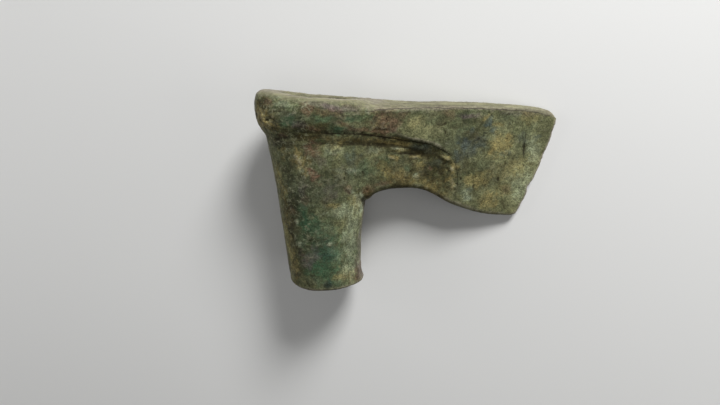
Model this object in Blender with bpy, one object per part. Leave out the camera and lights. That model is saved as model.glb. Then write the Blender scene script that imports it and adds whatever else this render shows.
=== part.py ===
"""A cast bronze shaft-hole axe head, lying on one of its faces.

The head is drawn flat first, in millimetres: X runs along the blade to the cutting edge, Y up the
haft socket to the crest, and Z through the thickness. The mid-plane is Z = 0, and the socket's
axis meets its lower rim at X = 0, Y = 0. The finished head is then tipped onto its far face, so
that the bead, the rim and the blade near its edge touch the ground, and its box stands centred
on the origin. The scene is in metres, +Z up.
"""

import math

import bmesh
import bpy
from mathutils import Vector

MM = 0.001

# Haft socket, solid: height on the axis, reach to the back, reach to the front, half-width, tilt
# and curl. Tilt is the ring's rise for each millimetre towards the blade; curl bends its ends up.
SOCKET_RINGS = (
    (0.2, 14.9, 18.0, 15.8, 0.03, 0.0),
    (1.1, 15.6, 18.3, 16.2, 0.03, 0.0),
    (4.0, 16.1, 17.8, 16.3, 0.03, 0.0),
    (10.0, 16.9, 17.2, 16.3, 0.03, 0.0),
    (24.0, 18.4, 17.8, 16.4, 0.02, 0.0),
    (38.0, 19.9, 19.5, 16.6, 0.02, 0.0),
    (52.0, 21.8, 20.7, 16.8, 0.02, 0.0),
    (65.4, 23.8, 22.0, 17.0, 0.04, 0.0),
    (66.4, 24.0, 22.2, 17.4, 0.04, 0.0),
    (70.0, 24.7, 22.5, 17.8, 0.05, 0.0),
    (71.2, 25.8, 22.6, 18.3, 0.04, 0.0),
    (73.0, 27.2, 22.8, 19.0, 0.02, 0.0),
    (75.4, 28.5, 22.9, 19.5, -0.01, 0.0002),
    (78.2, 29.1, 23.0, 19.7, -0.04, 0.0006),
    (80.8, 28.9, 23.0, 19.3, -0.055, 0.0012),
    (82.8, 28.0, 22.8, 18.5, -0.067, 0.0019),
    (84.1, 26.3, 22.2, 17.4, -0.073, 0.0023),
    (84.8, 24.2, 21.4, 16.2, -0.073, 0.0024),
    (85.0, 21.9, 20.4, 15.2, -0.073, 0.0024),
)
# Haft hole, cut through the socket: the same six numbers, running past both mouths.
BORE_RINGS = (
    (-3.0, 12.0, 13.8, 12.4, 0.03, 0.0),
    (0.0, 12.1, 13.9, 12.5, 0.03, 0.0),
    (40.0, 14.6, 15.2, 13.0, 0.0, 0.0),
    (75.0, 16.3, 16.8, 13.6, -0.05, 0.001),
    (80.5, 16.8, 17.2, 13.8, -0.073, 0.0024),
    (83.3, 17.6, 18.0, 14.4, -0.073, 0.0024),
    (84.7, 19.0, 19.2, 15.1, -0.073, 0.0024),
    (87.5, 23.0, 22.0, 17.0, -0.073, 0.0024),
)
RING_POINTS = 56
RING_STEP = 7.0

# Ribs of the blade: where each one starts on the upper edge, and where it ends on the lower edge.
RIBS = (
    ((0.0, 84.4), (0.0, 47.0)),
    ((9.0, 84.3), (10.5, 43.6)),
    ((16.0, 84.2), (16.6, 40.0)),
    ((20.5, 84.1), (20.2, 39.0)),
    ((25.0, 83.8), (24.0, 42.3)),
    ((31.0, 83.3), (30.8, 43.9)),
    ((38.0, 82.9), (38.4, 44.4)),
    ((45.0, 82.8), (45.0, 43.6)),
    ((51.0, 82.8), (50.2, 41.5)),
    ((57.0, 82.8), (55.2, 38.5)),
    ((62.0, 82.6), (60.0, 36.4)),
    ((68.0, 82.3), (65.0, 34.7)),
    ((77.0, 81.8), (72.0, 32.5)),
    ((88.0, 81.1), (79.6, 31.6)),
    ((98.2, 79.0), (85.5, 31.3)),
    ((103.0, 75.4), (88.2, 32.0)),
)
STEPS_BETWEEN_RIBS = 3
TOP_ROWS, BAND_ROWS, FACE_ROWS, BOTTOM_ROWS = 5, 6, 10, 4

# The cutting edge bows out from the line between its two corners, and a chip bites into it.
EDGE_TOP, EDGE_FOOT = RIBS[-1]
EDGE_BOW = 1.45
CHIP_HEIGHT, CHIP_HALF_LENGTH, CHIP_DEPTH = 44.8, 2.8, 1.2

# Half the blade's thickness against the distance back from the cutting edge. The last rows are
# the bead at the socket.
WEDGE = (
    (0.0, 0.55),
    (3.0, 1.15),
    (10.0, 2.2),
    (20.0, 3.5),
    (32.0, 5.1),
    (44.0, 6.5),
    (54.0, 7.4),
    (64.0, 8.8),
    (74.0, 11.0),
    (83.0, 13.8),
    (89.0, 15.4),
    (95.0, 16.2),
    (103.0, 16.5),
)
# Half the thickness of the sunk panel between the socket and the blade, against X.
PANEL_HALF = (
    (0.0, 12.6),
    (8.0, 12.8),
    (14.0, 12.3),
    (20.0, 10.2),
    (26.0, 7.7),
    (33.0, 5.8),
    (42.0, 4.9),
    (64.0, 4.7),
)
# The panel is a quarter of a superellipse: its corner is on the axis at PANEL_FOOT, its length
# runs towards the blade, and its height reaches up to the crease under the bead.
PANEL_FOOT, PANEL_LENGTH, PANEL_HEIGHT, PANEL_POWER = 36.0, 61.5, 34.4, 2.8
CREASE_STEP, END_STEP = 0.03, 0.075
# Rows of the blade's skin follow the crease down to this share of a rib.
CREASE_LIMIT = 0.62
# A low ledge slopes down along the top of the panel and ends in a small drop. It fades in over the
# first stretch of X and out over the second.
LEDGE_WIDTH, LEDGE_DROP_WIDTH, LEDGE_RISE, LEDGE_DROP = 3.0, 0.9, 1.2, 0.6
LEDGE_FADES = ((6.0, 20.0), (44.0, 54.0))
# The blade runs into the socket with a fillet, and starts just under the socket's skin.
FILLET, SKIN = 4.0, 0.2

# The upper edge is a full round at the socket and a low roof with sharp sides along the blade.
CROWN_DEPTH = ((0.0, 8.2), (10.0, 7.4), (18.0, 5.0), (25.0, 3.6), (50.0, 2.6), (85.0, 1.5), (103.0, 0.9))
CROWN_POWER = ((0.0, 3.6), (10.0, 3.2), (18.0, 2.0), (26.0, 1.4), (103.0, 1.3))
# The lower edge is rounded over this depth, against X.
FOOT_DEPTH = ((0.0, 6.0), (18.0, 5.0), (30.0, 3.2), (48.0, 2.4), (80.0, 1.6), (103.0, 1.2))
# How far the bead tucks in above the crease, against X.
UNDERCUT = ((0.0, 2.6), (20.0, 2.0), (46.0, 0.0), (103.0, 0.0))
BEAD_WAIST = 77.5

# Lying down: the cutting edge drops about Y, and the rim drops about X.
EDGE_DOWN = math.radians(10.19)
RIM_DOWN = math.radians(2.68)

BRONZE_COLOUR = (0.17, 0.19, 0.13, 1.0)


def along(stations, at):
    """Read a smooth curve through stations of (position, value, value...) at one position."""
    last = len(stations) - 1
    i = max(k for k in range(last) if k == 0 or stations[k][0] <= at)
    before, start, end, after = (stations[min(max(k, 0), last)] for k in (i - 1, i, i + 1, i + 2))
    span = end[0] - start[0]
    t = min(max((at - start[0]) / span, 0.0), 1.0)

    def blend(a, p, q, b):
        """Cubic between p and q whose end slopes never overshoot either neighbour."""
        here = q - p
        left = (p - a) / max(start[0] - before[0], 1e-6) * span
        right = (b - q) / max(after[0] - end[0], 1e-6) * span
        rise = 2 * left * here / (left + here) if left * here > 0 else 0.0
        fall = 2 * right * here / (right + here) if right * here > 0 else 0.0
        rise = here if a is p else rise
        fall = here if b is q else fall
        return (
            p * (1 + 2 * t) * (1 - t) ** 2
            + q * t * t * (3 - 2 * t)
            + rise * t * (1 - t) ** 2
            - fall * t * t * (1 - t)
        )

    return [blend(*values) for values in zip(before[1:], start[1:], end[1:], after[1:])]


def ease(t):
    """Smooth step from 0 to 1 as t goes from 0 to 1."""
    t = min(max(t, 0.0), 1.0)
    return t * t * (3 - 2 * t)


def edge_x(y):
    """X of the cutting edge at one height, without its chip."""
    v = (EDGE_TOP[1] - y) / (EDGE_TOP[1] - EDGE_FOOT[1])
    straight = EDGE_TOP[0] + (EDGE_FOOT[0] - EDGE_TOP[0]) * v
    return straight + EDGE_BOW * max(1 - (2 * v - 1) ** 4, 0.0)


def panel_reach(x, y):
    """Place of a point against the panel's outline: under 1 inside it, over 1 outside."""
    length_share = max(x, 0.0) / PANEL_LENGTH
    height_share = max(y - PANEL_FOOT, 0.0) / PANEL_HEIGHT
    return (length_share**PANEL_POWER + height_share**PANEL_POWER) ** (1 / PANEL_POWER)


def step_width(x):
    """Width of the riser round the panel, as a share of the panel: crisp above, soft at its end."""
    return CREASE_STEP + (END_STEP - CREASE_STEP) * ease((x / PANEL_LENGTH - 0.78) / 0.16)


def ledge_rise(x, y):
    """How far the ledge along the top of the panel stands above the panel."""
    height_share = max(1 - (x / PANEL_LENGTH) ** PANEL_POWER, 0.0) ** (1 / PANEL_POWER)
    below = PANEL_FOOT + PANEL_HEIGHT * height_share - y
    slope = LEDGE_RISE + (LEDGE_DROP - LEDGE_RISE) * min(max(below / LEDGE_WIDTH, 0.0), 1.0)
    across = 1 - ease((below - LEDGE_WIDTH) / LEDGE_DROP_WIDTH)
    shown, hidden = (ease((x - start) / (end - start)) for start, end in LEDGE_FADES)
    return slope * across * shown * (1 - hidden)


def socket_half(x, y):
    """Half-width of the solid socket at one point of its front, or zero beyond it."""
    *_, tilt, curl = along(SOCKET_RINGS, y)
    height = y - tilt * x - curl * x * x
    if height > SOCKET_RINGS[-1][0]:
        return 0.0
    _, front, half, _, _ = along(SOCKET_RINGS, height)
    return half * math.sqrt(max(1 - (x / front) ** 2, 0.0))


def join_socket(x, y, half):
    """Half the thickness of the blade at one point, with a fillet where it meets the socket."""
    socket = socket_half(x, y) - SKIN
    close = max(FILLET - abs(half - socket), 0.0)
    return max(half, socket) + close * close / (4 * FILLET)


def half_thickness(x, y):
    """Half the thickness of the blade, its bead or its sunk panel at one point of the outline."""
    body = along(WEDGE, edge_x(y) - x)[0]
    tuck = min(max((BEAD_WAIST - y) / (BEAD_WAIST - PANEL_FOOT - PANEL_HEIGHT), 0.0), 1.0)
    body -= along(UNDERCUT, x)[0] * (1 - math.sqrt(1 - tuck * tuck))
    raised = ease((panel_reach(x, y) - 1) / step_width(x))
    panel = min(along(PANEL_HALF, x)[0] + ledge_rise(x, y), body)
    return panel + (body - panel) * raised


def distance_to_riser(top, down, limit, level):
    """Distance down a rib to the foot of the panel's riser, level 0, or to its top, level 1."""
    near, far = 0.0, limit
    for _ in range(24):
        middle = (near + far) / 2
        spot = top + down * middle
        if panel_reach(spot.x, spot.y) > 1 + level * step_width(spot.x):
            near = middle
        else:
            far = middle
    return far


def row_distances(top, down, length):
    """Distances down a rib of the rows on its flank, with rows on the crease and on the ledge."""
    limit = CREASE_LIMIT * length
    depth = along(CROWN_DEPTH, top.x)[0]
    crease = distance_to_riser(top, down, limit, 0)
    above = min(distance_to_riser(top, down, limit, 1), crease - 0.8)
    rows = [depth + (above - depth) * k / BAND_ROWS for k in range(BAND_ROWS)]
    rows += [above, crease, crease + LEDGE_WIDTH]
    lower = crease + LEDGE_WIDTH + LEDGE_DROP_WIDTH
    end = length - along(FOOT_DEPTH, top.x)[0]
    return rows + [lower + (end - lower) * k / FACE_ROWS for k in range(FACE_ROWS)]


def rib_section(top, foot):
    """Closed loop of points round the blade on the rib from top to foot."""
    top, foot = Vector(top), Vector(foot)
    length = (foot - top).length
    down = (foot - top) / length
    depth, power = along(CROWN_DEPTH, top.x)[0], along(CROWN_POWER, top.x)[0]
    foot_depth = along(FOOT_DEPTH, top.x)[0]
    bend_start = RIBS[-4][0][0]
    bend = ease((top.x - bend_start) / (EDGE_TOP[0] - bend_start))
    at_edge = top.x > EDGE_TOP[0] - 0.01

    def place(distance, share=1.0, shoulder=None):
        """Point on the near side, at a distance down the rib; shoulder sets its thickness."""
        spot = top + down * distance
        line = EDGE_TOP[0] + (EDGE_FOOT[0] - EDGE_TOP[0]) * distance / length
        spot.x += bend * (edge_x(spot.y) - line)
        thick = top + down * (distance if shoulder is None else shoulder)
        half = share * half_thickness(min(thick.x, edge_x(thick.y)), thick.y)
        if at_edge:
            spot.x -= CHIP_DEPTH * max(1 - abs(spot.y - CHIP_HEIGHT) / CHIP_HALF_LENGTH, 0.0)
        return (spot.x, spot.y, join_socket(spot.x, spot.y, half) if share > 0.01 else 0.0)

    points = []
    for k in range(TOP_ROWS):
        turn = math.pi / 2 * k / TOP_ROWS
        drop = depth * (1 - math.cos(turn) ** (2 / power))
        points.append(place(drop, math.sin(turn) ** (2 / power), depth))
    points += [place(distance) for distance in row_distances(top, down, length)]
    for k in range(BOTTOM_ROWS + 1):
        turn = math.pi / 2 * k / BOTTOM_ROWS
        distance = length - foot_depth * (1 - math.sin(turn))
        points.append(place(distance, math.cos(turn), length - foot_depth))
    far_side = [(x, y, -z) for x, y, z in reversed(points[1:-1])]
    return points + far_side


def ring_section(reading):
    """Closed oval of points round the socket's axis."""
    height, back, front, half, tilt, curl = reading
    points = []
    for k in range(RING_POINTS):
        turn = 2 * math.pi * k / RING_POINTS
        x = (front if math.cos(turn) > 0 else back) * math.cos(turn)
        points.append((x, height + tilt * x + curl * x * x, half * math.sin(turn)))
    return points


def ring_sections(rings):
    """Ovals through the given rings, with more between them where they stand far apart."""
    sections = []
    for start, end in zip(rings, rings[1:]):
        steps = max(round((end[0] - start[0]) / RING_STEP), 1)
        for k in range(steps):
            height = start[0] + (end[0] - start[0]) * k / steps
            sections.append(ring_section([height, *along(rings, height)]))
    sections.append(ring_section(rings[-1]))
    return sections


def blade_sections():
    """Loops round the blade from inside the socket to the cutting edge."""
    numbered = [(float(k), *top, *foot) for k, (top, foot) in enumerate(RIBS)]
    count = (len(RIBS) - 1) * STEPS_BETWEEN_RIBS
    sections = []
    for k in range(count + 1):
        x_top, y_top, x_foot, y_foot = along(numbered, k / STEPS_BETWEEN_RIBS)
        sections.append(rib_section((x_top, y_top), (x_foot, y_foot)))
    return sections


def cap(form, loop):
    """Close a mirrored loop with strips from each point to its twin across the mid-plane."""
    for k in range(len(loop) // 2):
        corners = (loop[k], loop[k + 1], loop[-k - 1], loop[-k])
        form.faces.new(list(dict.fromkeys(corners)))


def loft(name, sections, collection):
    """Closed skin through sections that have the same number of points, as a new object."""
    form = bmesh.new()
    loops = [[form.verts.new(Vector(p) * MM) for p in section] for section in sections]
    for near, far in zip(loops, loops[1:]):
        for k in range(len(near)):
            form.faces.new((near[k - 1], near[k], far[k], far[k - 1]))
    cap(form, loops[0])
    cap(form, loops[-1])
    bmesh.ops.recalc_face_normals(form, faces=form.faces)
    mesh = bpy.data.meshes.new(name)
    form.to_mesh(mesh)
    form.free()
    mesh.shade_smooth()
    made = bpy.data.objects.new(name, mesh)
    collection.objects.link(made)
    return made


def new_collection(name):
    """Empty collection in the scene."""
    made = bpy.data.collections.new(name)
    bpy.context.scene.collection.children.link(made)
    return made


def bronze():
    """Dull green bronze, with the bare metal long hidden under its patina."""
    material = bpy.data.materials.new("patinated_bronze")
    material.use_nodes = True
    shader = material.node_tree.nodes["Principled BSDF"]
    shader.inputs["Base Color"].default_value = BRONZE_COLOUR
    shader.inputs["Roughness"].default_value = 0.62
    shader.inputs["Metallic"].default_value = 0.15
    return material


def work_into(head, tool, operation):
    """Join a tool to the head or cut it from the head, and keep the tool as a hidden guide."""
    change = head.modifiers.new(tool.name, "BOOLEAN")
    change.operation = operation
    change.object = tool
    tool.hide_render = True
    tool.display_type = "WIRE"


def lay_down(rest, head):
    """Tip the drawing onto its far face and stand its box centred on the origin."""
    rest.rotation_euler = (RIM_DOWN, EDGE_DOWN, 0.0)
    bpy.context.view_layer.update()
    solid = head.evaluated_get(bpy.context.evaluated_depsgraph_get())
    corners = [solid.matrix_world @ v.co for v in solid.data.vertices]
    low = Vector([min(p[i] for p in corners) for i in range(3)])
    high = Vector([max(p[i] for p in corners) for i in range(3)])
    rest.location = Vector((-(low.x + high.x) / 2, -(low.y + high.y) / 2, -low.z))


def build():
    """Make the axe head and lay it down."""
    for old in list(bpy.data.objects):
        bpy.data.objects.remove(old)
    parts = new_collection("axe_head")
    tools = new_collection("tools")
    rest = bpy.data.objects.new("lying_down", None)
    parts.objects.link(rest)

    head = loft("axe_head", ring_sections(SOCKET_RINGS), parts)
    blade = loft("blade", blade_sections(), tools)
    bore = loft("haft_hole", ring_sections(BORE_RINGS), tools)
    for piece in (head, blade, bore):
        piece.parent = rest
    work_into(head, blade, "UNION")
    work_into(head, bore, "DIFFERENCE")
    head.data.materials.append(bronze())
    lay_down(rest, head)


build()
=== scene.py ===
"""Scene of a cast bronze shaft-hole axe head, lying on one face under soft studio light.

The casting's skin is worked in a flat drawing of the head, in millimetres: X along the blade to
the cutting edge, Y up the haft socket to the crest, and Z out of the face that is shown. The row
frame is in metres, +Z up.
"""

import logging
import math
from dataclasses import dataclass, field
from enum import Enum

import bmesh
import bpy
import numpy as np
from mathutils import Matrix, Vector


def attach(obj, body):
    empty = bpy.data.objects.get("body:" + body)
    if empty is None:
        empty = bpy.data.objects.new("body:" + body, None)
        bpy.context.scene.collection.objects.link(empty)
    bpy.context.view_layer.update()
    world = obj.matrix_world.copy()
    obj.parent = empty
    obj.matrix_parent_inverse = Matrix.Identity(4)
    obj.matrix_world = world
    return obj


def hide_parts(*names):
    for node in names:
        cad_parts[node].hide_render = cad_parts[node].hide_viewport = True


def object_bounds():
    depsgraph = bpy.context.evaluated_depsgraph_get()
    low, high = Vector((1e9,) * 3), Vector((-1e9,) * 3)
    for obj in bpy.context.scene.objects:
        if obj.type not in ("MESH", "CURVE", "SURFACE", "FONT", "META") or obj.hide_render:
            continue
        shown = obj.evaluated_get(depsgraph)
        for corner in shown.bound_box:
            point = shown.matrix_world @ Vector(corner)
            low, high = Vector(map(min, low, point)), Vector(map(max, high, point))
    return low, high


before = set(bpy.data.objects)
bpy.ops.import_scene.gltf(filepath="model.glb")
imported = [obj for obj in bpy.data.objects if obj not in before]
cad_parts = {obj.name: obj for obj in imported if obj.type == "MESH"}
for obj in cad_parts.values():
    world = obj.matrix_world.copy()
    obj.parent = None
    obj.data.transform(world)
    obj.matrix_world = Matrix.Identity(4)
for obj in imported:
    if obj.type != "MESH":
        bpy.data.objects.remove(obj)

LOG = logging.getLogger("axe_head")
MM = 0.001
TINY = 1e-12
FAR = 1e9
CAD_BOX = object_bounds()

Point = tuple[float, float]
Line = tuple[Point, ...]
Colour = tuple[float, float, float]
PatchRow = tuple[float, float, float, float, float, float]


class Mineral(Enum):
    """Things that lie on the casting as colour, each with its own mask on the mesh; some also carry painted
    light and shade.
    """

    GREEN = "green"
    RED = "red"
    VIOLET = "violet"
    BLUE = "blue"
    OCHRE = "ochre"
    PALE = "pale"
    DARK = "dark"
    KHAKI = "khaki"
    SLATE = "slate"
    EARTH = "earth"


class Face(Enum):
    """Which face of the head a mark is on."""

    SHOWN = 1
    BOTH = 0


@dataclass(frozen=True)
class Fade:
    """How something sets in along a scale: nothing of it at the start, all of it at the end."""

    start: float
    end: float

    def at(self, values: np.ndarray) -> np.ndarray:
        """Share that has set in.

        Args:
            values: Numbers on the scale.

        Returns:
            Numbers from 0 to 1.
        """
        t = np.clip((values - self.start) / (self.end - self.start), 0.0, 1.0)
        return t * t * (3.0 - 2.0 * t)


def bell(values: np.ndarray, width: float) -> np.ndarray:
    """Round hump that is 1 where the value is 0 and dies away on both sides of it."""
    return np.exp(-((values / width) ** 2))


def distance_to_line(points: np.ndarray, line: Line) -> tuple[np.ndarray, np.ndarray]:
    """Distance in the drawing's plane from points to a broken line.

    Args:
        points: Points in millimetres, one a row.
        line: Corners of the line.

    Returns:
        Distances in millimetres, above 0 on the line's left, and how far along the line the
        nearest spot is, from 0 to 1.
    """
    best = np.full(len(points), FAR)
    place = np.zeros(len(points))
    count = len(line) - 1
    for k, (start, end) in enumerate(zip(line, line[1:])):
        d = np.array(end) - np.array(start)
        gone = points[:, :2] - np.array(start)
        t = np.clip((gone @ d) / max(d @ d, TINY), 0.0, 1.0)
        away = np.linalg.norm(gone - t[:, None] * d, axis=1)
        nearer = away < np.abs(best)
        side = np.where(d[0] * gone[:, 1] - d[1] * gone[:, 0] < 0.0, -1.0, 1.0)
        best = np.where(nearer, away * side, best)
        place = np.where(nearer, (k + t) / count, place)
    return best, place


@dataclass(frozen=True)
class Clouds:
    """Smooth random field in space: size of its largest blobs, seed, finer layers and stretch."""

    grain: float
    seed: int
    layers: int = 3
    stretch: tuple[float, float, float] = (1.0, 1.0, 1.0)
    table: int = 256
    start_room: float = 64.0
    finer: float = 2.03
    fainter: float = 0.5
    shift: float = 11.7
    spread: float = 0.4

    def at(self, points: np.ndarray) -> np.ndarray:
        """Read the field.

        Args:
            points: Points in millimetres, one a row.

        Returns:
            Numbers round 0, mostly from -1 to 1.
        """
        draw = np.random.default_rng(self.seed)
        order = draw.permutation(self.table)
        slopes = draw.normal(size=(self.table, 3))
        slopes /= np.linalg.norm(slopes, axis=1)[:, None]
        start = draw.uniform(0.0, self.start_room, 3)
        place = points / (self.grain * np.array(self.stretch)) + start
        total = np.zeros(len(points))
        weight = 1.0
        for _ in range(self.layers):
            total += weight * self.layer(place, order, slopes)
            weight *= self.fainter
            place = place * self.finer + self.shift
        return total * (self.spread / max(total.std(), TINY))

    def layer(self, place: np.ndarray, order: np.ndarray, slopes: np.ndarray) -> np.ndarray:
        """One layer of the field.

        Args:
            place: Points counted in blobs, one a row.
            order: Shuffled numbers that pick a slope for each corner.
            slopes: Directions that the field may rise in.

        Returns:
            One number a point.
        """
        cell = np.floor(place).astype(np.int64)
        within = place - cell
        ease = within**3 * (within * (within * 6.0 - 15.0) + 10.0)
        value = np.zeros(len(place))
        for corner in np.ndindex(2, 2, 2):
            step = np.array(corner)
            x, y, z = (cell + step).T
            pick = order[(order[(order[x % self.table] + y) % self.table] + z) % self.table]
            rise = np.einsum("ij,ij->i", slopes[pick], within - step)
            value += rise * np.prod(np.where(step == 1, ease, 1.0 - ease), axis=1)
        return value


@dataclass(frozen=True)
class Sway:
    """Unsteady hand: fields and heights, in millimetres, that move points along X and along Y."""

    fields: tuple[Clouds, Clouds]
    heights: tuple[float, float]

    def move(self, points: np.ndarray) -> np.ndarray:
        """Points moved a little, so that what is drawn at them looks unsteady.

        Args:
            points: Points in millimetres, one a row.

        Returns:
            Moved points in the same layout.
        """
        moved = points.copy()
        for axis, (clouds, height) in enumerate(zip(self.fields, self.heights)):
            moved[:, axis] += height * clouds.at(points)
        return moved


@dataclass(frozen=True)
class Drawing:
    """Where the flat drawing lies in the row frame."""

    edge_down: float = math.radians(10.19)
    rim_down: float = math.radians(2.68)
    origin: tuple[float, float, float] = (-36.9867, -43.6344, 16.1989)

    def turn(self) -> Matrix:
        """Rotation from the drawing to the row frame."""
        return Matrix.Rotation(self.edge_down, 3, "Y") @ Matrix.Rotation(self.rim_down, 3, "X")

    def to_row(self) -> Matrix:
        """Whole transform from the drawing's millimetres to the row frame's metres."""
        place = Matrix.Translation(Vector(self.origin) * MM)
        return place @ self.turn().to_4x4() @ Matrix.Scale(MM, 4)

    def flatten(self, points: np.ndarray) -> np.ndarray:
        """Move points from the row frame to the drawing.

        Args:
            points: Points in metres, one a row.

        Returns:
            Points in millimetres, one a row.
        """
        return (points / MM - np.array(self.origin)) @ np.array(self.turn())

    def lay(self, points: np.ndarray) -> np.ndarray:
        """Move points from the drawing to the row frame.

        Args:
            points: Points in millimetres, one a row.

        Returns:
            Points in metres, one a row.
        """
        return (points @ np.array(self.turn()).T + np.array(self.origin)) * MM


@dataclass(frozen=True)
class Stroke:
    """A mark along a line: strength is its height in millimetres, or how much mineral lies on it."""

    line: Line
    width: float
    strength: float
    face: Face = Face.SHOWN
    taper: float = 0.3
    mineral: Mineral | None = None
    just_before: float = -1e-6

    def profile(self, points: np.ndarray) -> np.ndarray:
        """Share of the stroke at each point, fading across and at both ends.

        Args:
            points: Points in millimetres, one a row.

        Returns:
            Numbers from 0 to 1.
        """
        away, place = distance_to_line(points, self.line)
        tip = Fade(self.just_before, self.taper)
        return bell(away, self.width) * (tip.at(place) * tip.at(1.0 - place))


@dataclass(frozen=True)
class Hairline:
    """A dark line finer than the skin's squares: half-width, and strengths evenly along it."""

    name: str
    line: Line
    width: float
    strengths: tuple[float, ...]
    thinnest: float = 0.01
    most: float = 12.0

    def gap(self, points: np.ndarray) -> np.ndarray:
        """Signed distance to the line, counted in its half-width where it is that strong.

        Args:
            points: Points in millimetres, one a row.

        Returns:
            Numbers that are from -1 to 1 on the line and grow away from it, up to the most.
        """
        away, place = distance_to_line(points, self.line)
        along = np.linspace(0.0, 1.0, len(self.strengths))
        width = self.width * np.interp(place, along, self.strengths)
        return np.clip(away / np.maximum(width, self.thinnest), -self.most, self.most)


@dataclass(frozen=True)
class Blob:
    """A patch or lump: centre, half-sizes and turn in the drawing, and how strong it is."""

    x: float
    y: float
    long: float
    short: float
    turn: float = 0.0
    strength: float = 1.0
    face: Face = Face.SHOWN

    def reach(self, points: np.ndarray) -> np.ndarray:
        """Distance from the blob's centre, counted in its own half-sizes.

        Args:
            points: Points in millimetres, one a row.

        Returns:
            Numbers that are 1 on the blob's border.
        """
        angle = math.radians(self.turn)
        dx, dy = points[:, 0] - self.x, points[:, 1] - self.y
        along = dx * math.cos(angle) + dy * math.sin(angle)
        across = dy * math.cos(angle) - dx * math.sin(angle)
        return np.hypot(along / self.long, across / self.short)


@dataclass
class Skin:
    """The casting's skin as numbers: places and normals in the drawing, and its square faces."""

    points: np.ndarray
    faces: np.ndarray
    normals: np.ndarray = field(default_factory=lambda: np.zeros((0, 3)))
    pull: float = 0.5
    push: float = -0.52
    melt_step: float = 0.6
    faces_viewer: Fade = Fade(0.02, 0.3)

    def edges(self) -> np.ndarray:
        """Pairs of neighbouring points."""
        pairs = np.concatenate([self.faces[:, [k, (k + 1) % 4]] for k in range(4)])
        return np.unique(np.sort(pairs, axis=1), axis=0)

    def mean_of_neighbours(self, values: np.ndarray, pairs: np.ndarray) -> np.ndarray:
        """Mean of a value over each point's neighbours.

        Args:
            values: One number, or one row of numbers, a point.
            pairs: Neighbouring points.

        Returns:
            Means in the same layout.
        """
        table = values.reshape(len(values), -1)
        count = np.bincount(pairs.ravel(), minlength=len(table))
        sums = np.empty_like(table)
        for k in range(table.shape[1]):
            column = table[:, k]
            sums[:, k] = np.bincount(pairs[:, 0], column[pairs[:, 1]], len(table))
            sums[:, k] += np.bincount(pairs[:, 1], column[pairs[:, 0]], len(table))
        return (sums / np.maximum(count, 1)[:, None]).reshape(values.shape)

    def smooth(self, rounds: int) -> None:
        """Melt the facets without shrinking the casting.

        Args:
            rounds: Number of paired smoothing passes.
        """
        pairs = self.edges()
        for _ in range(rounds):
            for step in (self.pull, self.push):
                self.points += step * (self.mean_of_neighbours(self.points, pairs) - self.points)

    def find_normals(self) -> None:
        """Work out each point's outward normal from the faces round it."""
        a, b, c, d = (self.points[self.faces[:, k]] for k in range(4))
        out = np.cross(c - a, d - b)
        sums = np.zeros_like(self.points)
        for k in range(4):
            for axis in range(3):
                sums[:, axis] += np.bincount(self.faces[:, k], out[:, axis], len(self.points))
        self.normals = sums / np.maximum(np.linalg.norm(sums, axis=1), TINY)[:, None]

    def melted(self, rounds: int) -> np.ndarray:
        """Where the points would lie after plain smoothing.

        Args:
            rounds: Smoothing passes.

        Returns:
            Points in millimetres, one a row.
        """
        pairs = self.edges()
        calm = self.points.copy()
        for _ in range(rounds):
            calm += self.melt_step * (self.mean_of_neighbours(calm, pairs) - calm)
        return calm

    def hollows(self, rounds: int) -> np.ndarray:
        """How deep each point lies in a hollow of the size that the smoothing passes fill."""
        return np.einsum("ij,ij->i", self.melted(rounds) - self.points, self.normals)

    def soften(
        self, line: Line, width: float, share: float, rounds: int = 40, strictness: int = 4
    ) -> None:
        """Melt what stands along a line.

        Args:
            line: Corners of the line.
            width: Half-width of the strip that melts, in millimetres.
            share: Share of the way to fully melted.
            rounds: Smoothing passes, which set the size of what melts.
            strictness: How strictly only what faces up or down melts; 0 melts all of it.
        """
        calm = self.melted(rounds)
        near = bell(distance_to_line(self.points, line)[0], width)
        flat = np.abs(self.normals[:, 2]) ** strictness
        self.points += (share * near * flat)[:, None] * (calm - self.points)
        self.find_normals()

    def share_on(self, face: Face) -> np.ndarray:
        """Share of a mark that each point takes, by the face that the mark is on."""
        if face is Face.BOTH:
            return np.ones(len(self.points))
        return self.faces_viewer.at(self.normals[:, 2])


@dataclass(frozen=True)
class HaftHole:
    """How the wall of the haft hole, and its mouth, are told from the outside of the casting."""

    squash: float = 1.15
    near_axis: Fade = Fade(19.5, 17.5)
    faces_axis: Fade = Fade(2.0, 6.0)
    mouth_slope: float = 0.1
    mouth_height: Fade = Fade(82.5, 83.8)

    def wall(self, skin: Skin) -> np.ndarray:
        """How surely each point is on the hole's wall.

        Args:
            skin: The casting's skin.

        Returns:
            Numbers from 0 to 1.
        """
        x, _, z = skin.points.T
        inward = -(x * skin.normals[:, 0] + z * skin.normals[:, 2])
        return self.faces_axis.at(inward) * self.near_axis.at(np.hypot(x, z * self.squash))

    def in_mouth(self, skin: Skin) -> np.ndarray:
        """How far each point is up in the hole's slanting mouth, from 0 to 1."""
        return self.mouth_height.at(skin.points[:, 1] + self.mouth_slope * skin.points[:, 0])


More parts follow.
